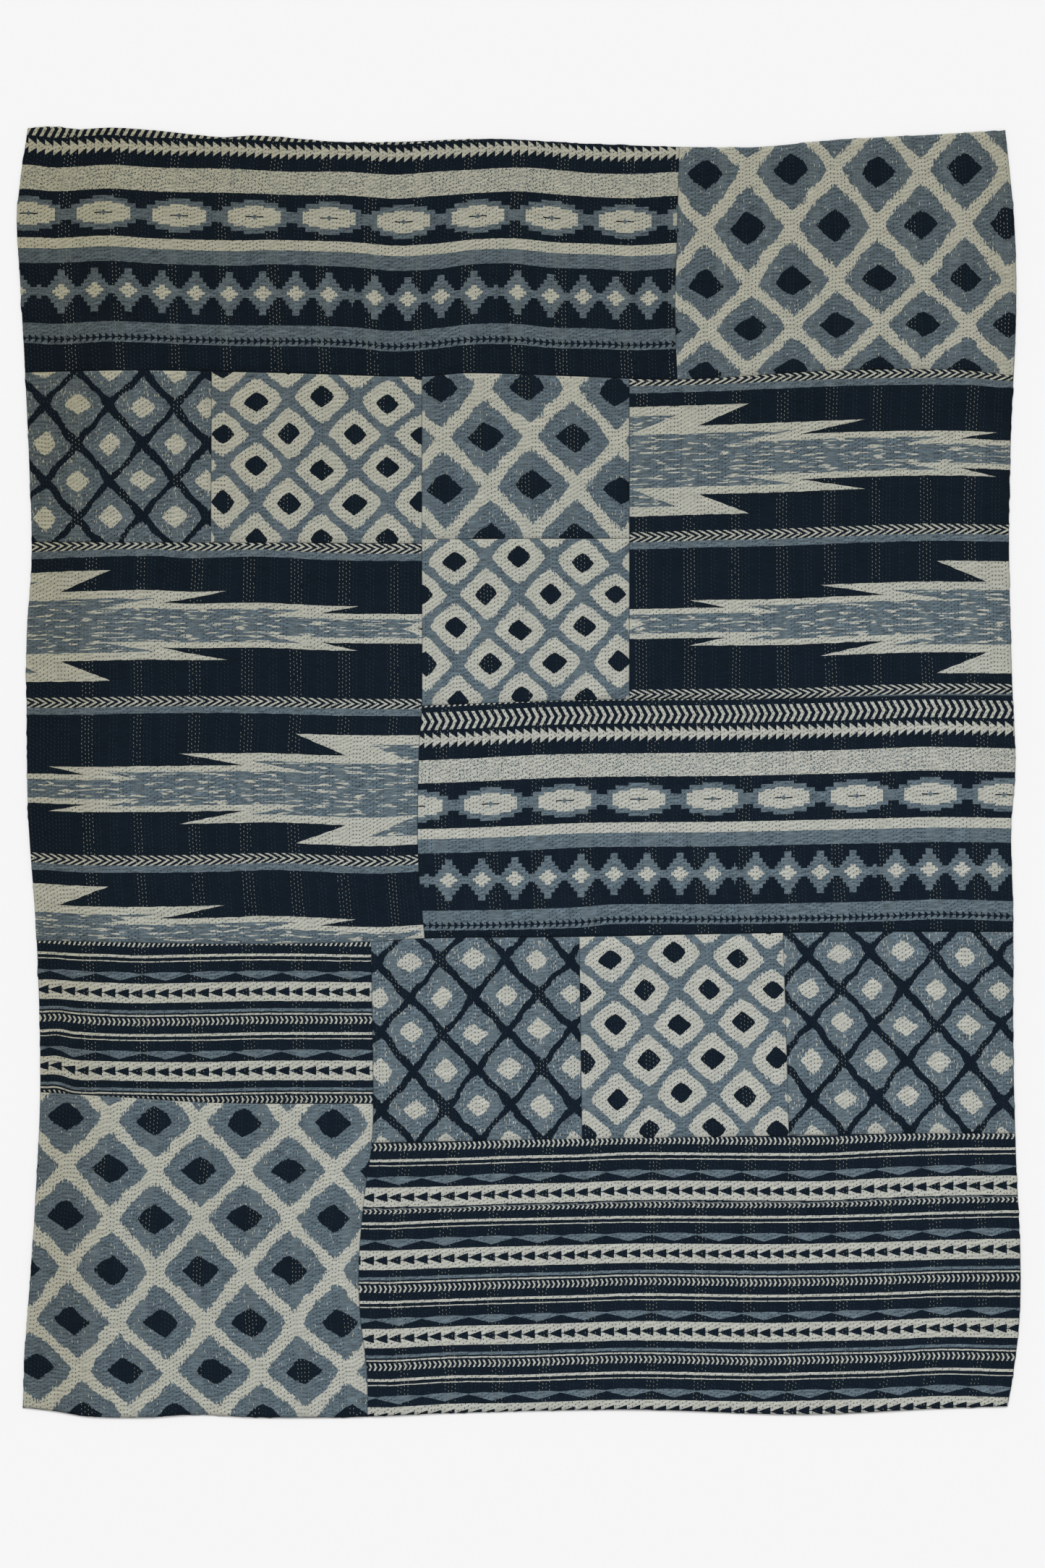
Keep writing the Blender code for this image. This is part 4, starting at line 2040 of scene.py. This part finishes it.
@dataclass
class LowerCloth:
    """The lower layers, joined from four panels, with the turned-in edge.

    Attributes:
        centre: The middle of the outline's box, which goes to the origin.
        thick: The cloth's thickness.
        step: How far apart the points of a panel are.
        shy: How far a panel stays inside its join with the next one.
        side_at: The height at which the edge stands out furthest.
        foot_inset: How far the edge draws in from there down to the floor.
        split_x: The join between the left and the right panels.
        split_y: The join between the top and the bottom panels.
        panels: The panels that have been built.
    """

    centre: Array
    thick: float = LOWER_THICK
    step: float = 24.0
    shy: float = 0.1
    side_at: float = 0.5
    foot_inset: float = 1.1
    split_x: Line = Line("split_x", ((-900, 14), (0, 9), (900, 15)))
    split_y: Line = Line("split_y", ((-700, -26), (0, -31), (700, -24)))
    panels: list[Object] = field(default_factory=list)

    def build(self) -> list[Object]:
        """Makes the four panels and returns them.

        Returns:
            The panels, without their finish.
        """
        for end, north, south in (
            ("top", LYING["top"], self.split_y),
            ("bottom", self.split_y, LYING["bottom"]),
        ):
            for side, west, east in (
                ("left", UPRIGHT["left"], self.split_x),
                ("right", self.split_x, UPRIGHT["right"]),
            ):
                name = f"under_cloth_{end}_{side}"
                self.panels.append(self.panel(name, (west, east, north, south)))
        return self.panels

    def panel(self, name: str, lines: tuple[Line, Line, Line, Line]) -> Object:
        """Makes one closed panel.

        Args:
            name: The panel's name.
            lines: The lines at its west, east, north and south.

        Returns:
            The panel.
        """
        shares_x = np.linspace(0, 1, round(WIDTH / 2 / self.step))
        shares_y = np.linspace(0, 1, round(LENGTH / 2 / self.step))
        grid = grid_between(lines, (shares_x, shares_y), self.shy)
        top, side, low = (
            np.stack([grid.x, grid.y, grid.x * 0 + height], axis=2)
            for height in (self.thick, self.side_at, 0.0)
        )
        for line, take, axis, inwards in zip(
            lines,
            (np.s_[0], np.s_[-1], np.s_[:, -1], np.s_[:, 0]),
            (0, 0, 1, 1),
            (1, -1, -1, 1),
        ):
            if not line.sewn:
                low[take][..., axis] += inwards * self.foot_inset
        rim = grid.rim()
        count = grid.x.size
        verts = np.concatenate([
            top.reshape(-1, 3), low.reshape(-1, 3), side.reshape(-1, 3)[rim],
        ])
        faces = grid.faces().tolist()
        faces += (grid.faces()[:, ::-1] + count).tolist()
        middle = [2 * count + index for index in range(len(rim))]
        below = [count + index for index in rim]
        for upper, lower in ((rim, middle), (middle, below)):
            for index in range(len(rim)):
                after = (index + 1) % len(rim)
                faces.append([upper[after], upper[index], lower[index], lower[after]])
        place = verts.copy()
        verts[:, :2] -= self.centre
        mesh = bpy.data.meshes.new(name)
        mesh.from_pydata((verts * MM).tolist(), [], faces)
        corners = corner_verts(mesh)
        set_uv(mesh, "Print", np.stack([place[:, 0], -place[:, 1]], axis=1)[corners])
        self.set_bake_map(mesh, place, count, corners)
        made = new_object(name, mesh)
        made["flat_size"] = [float(np.ptp(place[:, 0])) * MM, float(np.ptp(place[:, 1])) * MM]
        return made

    def set_bake_map(
        self, mesh: Mesh, place: Array, count: int, corners: Array
    ) -> None:
        """Gives most of the map to the underside, which is the side that shows.

        Args:
            mesh: Its mesh.
            place: The panel's vertices, in millimetres.
            count: How many of them each side has.
            corners: The vertex at each face corner.
        """
        shown, hidden, rims = bake_places(place, 0.48)
        shown[2 * count :] += 0.004 * rims[2 * count :]
        upper_rim = shown + 0.008 * rims
        places = shown[corners]
        for face in mesh.polygons:
            ends = slice(face.loop_start, face.loop_start + face.loop_total)
            own = corners[ends]
            on_top = own < count
            if on_top.all():
                places[ends] = hidden[own]
            elif on_top.any():
                places[ends][on_top] = upper_rim[own[on_top]]
        set_uv(mesh, "OFBake", places)

    def dress(self, material: Material) -> None:
        """Gives the panels their cotton."""
        for panel in self.panels:
            panel.data.materials.append(material)

    def declare(self) -> None:
        """Hides the model's quilt part and puts the panels under the root body."""
        for panel in self.panels:
            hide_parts(NODE)
            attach(panel, BODY)


@dataclass(frozen=True)
class RunningStitch:
    """The form of one stitch, as Geometry Nodes set it on every point.

    Attributes:
        length: How much of the thread shows.
        width: The thread's width.
        height: How far it stands out.
        turn: The most that a stitch leans to either side, in degrees.
        spread: The shortest and the longest stitch, as shares of the length.
        sides: How many sides the stitch's low cone has.
        seed: The seed of the leaning and of the lengths.
    """

    length: float = 3.0
    width: float = 1.3
    height: float = 0.5
    turn: float = 14.0
    spread: Pair = (0.75, 1.2)
    sides: int = 4
    seed: int = 5

    def tree(self) -> NodeTree:
        """Makes the Geometry Nodes tree, which ends in realized, dressed stitches.

        Returns:
            The tree, whose inputs are the points, the stitch's sizes and the threads.
        """
        tree = bpy.data.node_groups.new("running_stitch", "GeometryNodeTree")
        kinds = {"Geometry": "Geometry"}
        kinds |= dict.fromkeys(("Stitch Length", "Stitch Width", "Stitch Height", "Lean"), "Float")
        kinds |= {"Seed": "Int", **{thread.socket: "Material" for thread in Thread}}
        for name, kind in kinds.items():
            tree.interface.new_socket(name, in_out="INPUT", socket_type="NodeSocket" + kind)
        tree.interface.new_socket("Geometry", in_out="OUTPUT", socket_type="NodeSocketGeometry")

        given = add_node(tree, "NodeGroupInput").outputs
        points = add_node(tree, "GeometryNodeMeshToPoints", {"Mesh": given["Geometry"]})
        bead = add_node(
            tree,
            "GeometryNodeMeshCone",
            {"Vertices": self.sides, "Side Segments": 1, "Fill Segments": 1,
             "Radius Top": 0.0, "Radius Bottom": 0.5, "Depth": 1.0},
        )
        least = add_node(
            tree, "ShaderNodeMath", {0: given["Lean"], 1: -1.0}, operation="MULTIPLY"
        )
        lean = add_node(
            tree,
            "FunctionNodeRandomValue",
            {2: least.outputs[0], 3: given["Lean"], "Seed": given["Seed"]},
        )
        turn = add_node(tree, "ShaderNodeCombineXYZ", {2: lean.outputs[1]})
        share = add_node(
            tree,
            "FunctionNodeRandomValue",
            {2: self.spread[0], 3: self.spread[1], "Seed": given["Seed"]},
        )
        long = add_node(
            tree,
            "ShaderNodeMath",
            {0: given["Stitch Length"], 1: share.outputs[1]},
            operation="MULTIPLY",
        )
        scale = add_node(
            tree,
            "ShaderNodeCombineXYZ",
            {0: given["Stitch Width"], 1: long.outputs[0], 2: given["Stitch Height"]},
        )
        beads = add_node(
            tree,
            "GeometryNodeInstanceOnPoints",
            {"Points": points.outputs[0], "Instance": bead.outputs["Mesh"],
             "Rotation": turn.outputs[0], "Scale": scale.outputs[0]},
        )
        shape = add_node(tree, "GeometryNodeRealizeInstances", {0: beads.outputs[0]})
        number = add_node(
            tree, "GeometryNodeInputNamedAttribute", {"Name": "thread"}, data_type="INT"
        )
        sewn = shape.outputs[0]
        for thread in Thread:
            this = add_node(
                tree,
                "FunctionNodeCompare",
                {2: number.outputs["Attribute"], 3: thread.value},
                data_type="INT",
                operation="EQUAL",
            )
            sewn = add_node(
                tree,
                "GeometryNodeSetMaterial",
                {"Geometry": sewn, "Selection": this.outputs[0],
                 "Material": given[thread.socket]},
            ).outputs[0]
        add_node(tree, "NodeGroupOutput", {0: sewn})
        return tree


@dataclass
class Stitching:
    """The running stitches of all patches.

    Attributes:
        form: The form of one stitch.
        finishes: The threads' materials.
    """

    form: RunningStitch
    finishes: dict[Thread, Material]

    def __post_init__(self) -> None:
        """Makes the node tree that all patches share."""
        self.tree = self.form.tree()

    def dress(self) -> dict[str, Material]:
        """Returns the threads' materials by the names of the tree's inputs."""
        return {thread.socket: finish for thread, finish in self.finishes.items()}

    def build(self, name: str, places: Array, threads: Array) -> Object:
        """Sews one patch.

        Args:
            name: The piece's name.
            places: Where the stitches are, in metres.
            threads: The number of each one's thread.

        Returns:
            The stitches as one plain mesh.
        """
        mesh = bpy.data.meshes.new(name + "_points")
        mesh.from_pydata(places.tolist(), [], [])
        number = mesh.attributes.new("thread", "INT", "POINT")
        number.data.foreach_set("value", threads.astype(np.int32))
        carrier = new_object(name, mesh)
        modifier = carrier.modifiers.new("running_stitch", "NODES")
        modifier.node_group = self.tree
        values = self.dress() | {
            "Stitch Length": self.form.length * MM,
            "Stitch Width": self.form.width * MM,
            "Stitch Height": self.form.height * MM,
            "Lean": math.radians(self.form.turn),
            "Seed": self.form.seed,
        }
        for item in self.tree.interface.items_tree:
            if item.in_out == "INPUT" and item.name in values:
                modifier[item.identifier] = values[item.name]
        shown = carrier.evaluated_get(bpy.context.evaluated_depsgraph_get())
        sewn = bpy.data.meshes.new_from_object(shown)
        sewn.name = name
        carrier.modifiers.clear()
        carrier.data = sewn
        bpy.data.meshes.remove(mesh)
        return carrier


# The studio


@dataclass(frozen=True)
class Studio:
    """A plain pale floor, soft light and a camera that looks straight down.

    Attributes:
        centre: The middle of the outline's box, in millimetres.
        floor_colour: The floor.
        floor_size: Its side, in metres.
        floor_drop: How far under the quilt it lies, in metres.
        fill: The light from all round.
        key: The soft light from the quilt's top.
        key_spread: How wide that light is, in degrees, which softens its shadows.
        key_towards: The way in which it shines.
        camera_height: How far over the floor the camera is, in metres.
        sensor: The width of the camera's sensor, in millimetres.
    """

    centre: Array
    floor_colour: str = "eaeaea"
    floor_size: float = 14.0
    floor_drop: float = 0.0002
    fill: float = 0.62
    key: float = 2.4
    key_spread: float = 24.0
    key_towards: tuple[float, float, float] = (0.25, -1.0, -0.9)
    camera_height: float = 14.0
    sensor: float = 36.0

    def build(self) -> None:
        """Makes the floor, the lights and the camera."""
        self.floor()
        self.light()
        self.camera()

    def floor(self) -> None:
        """Lays the floor just under the quilt."""
        half = self.floor_size / 2
        mesh = bpy.data.meshes.new("floor")
        corners = [(-half, -half), (half, -half), (half, half), (-half, half)]
        verts = [(x, y, -self.floor_drop) for x, y in corners]
        mesh.from_pydata(verts, [], [(0, 1, 2, 3)])
        # A matt painted floor gives the eye an even pale ground without shine.
        made = bpy.data.materials.new("pale_floor")
        made.use_nodes = True
        shader = made.node_tree.nodes["Principled BSDF"]
        shader.inputs["Base Color"].default_value = linear(self.floor_colour)
        shader.inputs["Roughness"].default_value = 1.0
        shader.inputs["Specular IOR Level"].default_value = 0.0
        mesh.materials.append(made)
        new_object("floor", mesh)

    def light(self) -> None:
        """Sets an even fill and a wide key light from the quilt's top end."""
        world = bpy.data.worlds.new("studio")
        world.use_nodes = True
        background = world.node_tree.nodes["Background"]
        background.inputs["Color"].default_value = WHITE
        background.inputs["Strength"].default_value = self.fill
        bpy.context.scene.world = world
        lamp = bpy.data.lights.new("key", "SUN")
        lamp.energy = self.key
        lamp.angle = math.radians(self.key_spread)
        made = bpy.data.objects.new("key", lamp)
        made.rotation_euler = Vector(self.key_towards).to_track_quat("-Z", "Y").to_euler()
        bpy.context.scene.collection.objects.link(made)

    def camera(self) -> None:
        """Puts the camera over the middle of the photo's frame."""
        data = bpy.data.cameras.new("camera")
        data.sensor_width = self.sensor
        data.lens = self.sensor * self.camera_height / (VIEW_HEIGHT * MM)
        data.clip_end = 100.0
        made = bpy.data.objects.new("camera", data)
        middle = (np.array(VIEW_CENTRE) - self.centre) * MM
        made.location = (middle[0], middle[1], self.camera_height + BODY_THICK * MM)
        bpy.context.scene.collection.objects.link(made)
        bpy.context.scene.camera = made
        bpy.context.scene.view_settings.view_transform = "Standard"


# The whole


def outline_centre() -> Array:
    """Returns the middle of the outline's own box, in millimetres.

    Returns:
        Its x and y.
    """
    ends = np.linspace(0, 1, 400)
    lines = (UPRIGHT["left"], UPRIGHT["right"], LYING["top"], LYING["bottom"])
    grid = grid_between(lines, (ends, ends), 0.0)
    middle = ((grid.x.min() + grid.x.max()) / 2, (grid.y.min() + grid.y.max()) / 2)
    return np.array(middle)


def main() -> None:
    logging.basicConfig(level=logging.INFO, format="%(message)s")
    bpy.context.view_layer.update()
    centre = outline_centre()
    relief = Relief()

    lower = LowerCloth(centre)
    for panel in lower.build():
        LOG.info("%s: %d faces", panel.name, len(panel.data.polygons))
    lower.dress(LowerCotton().material())
    lower.declare()

    cotton = PrintedCotton()
    cloths = {name: cotton.material(name, design) for name, design in PRINTS.items()}
    finishes = {thread: finish.material() for thread, finish in THREADS.items()}
    stitching = Stitching(RunningStitch(), finishes)
    for number, cut in enumerate(CUTS):
        patch = Patch(cut, relief, centre, 100 * (number + 1))
        piece = patch.build()
        patch.dress(piece, cloths)
        stitches = stitching.build("stitches_" + cut.name, *patch.stitch_points())
        patch.declare(piece, stitches, lower.panels)
        LOG.info(
            "%s: %d faces, %d stitch faces",
            piece.name, len(piece.data.polygons), len(stitches.data.polygons),
        )

    Studio(centre).build()


if __name__ == "__main__":
    main()
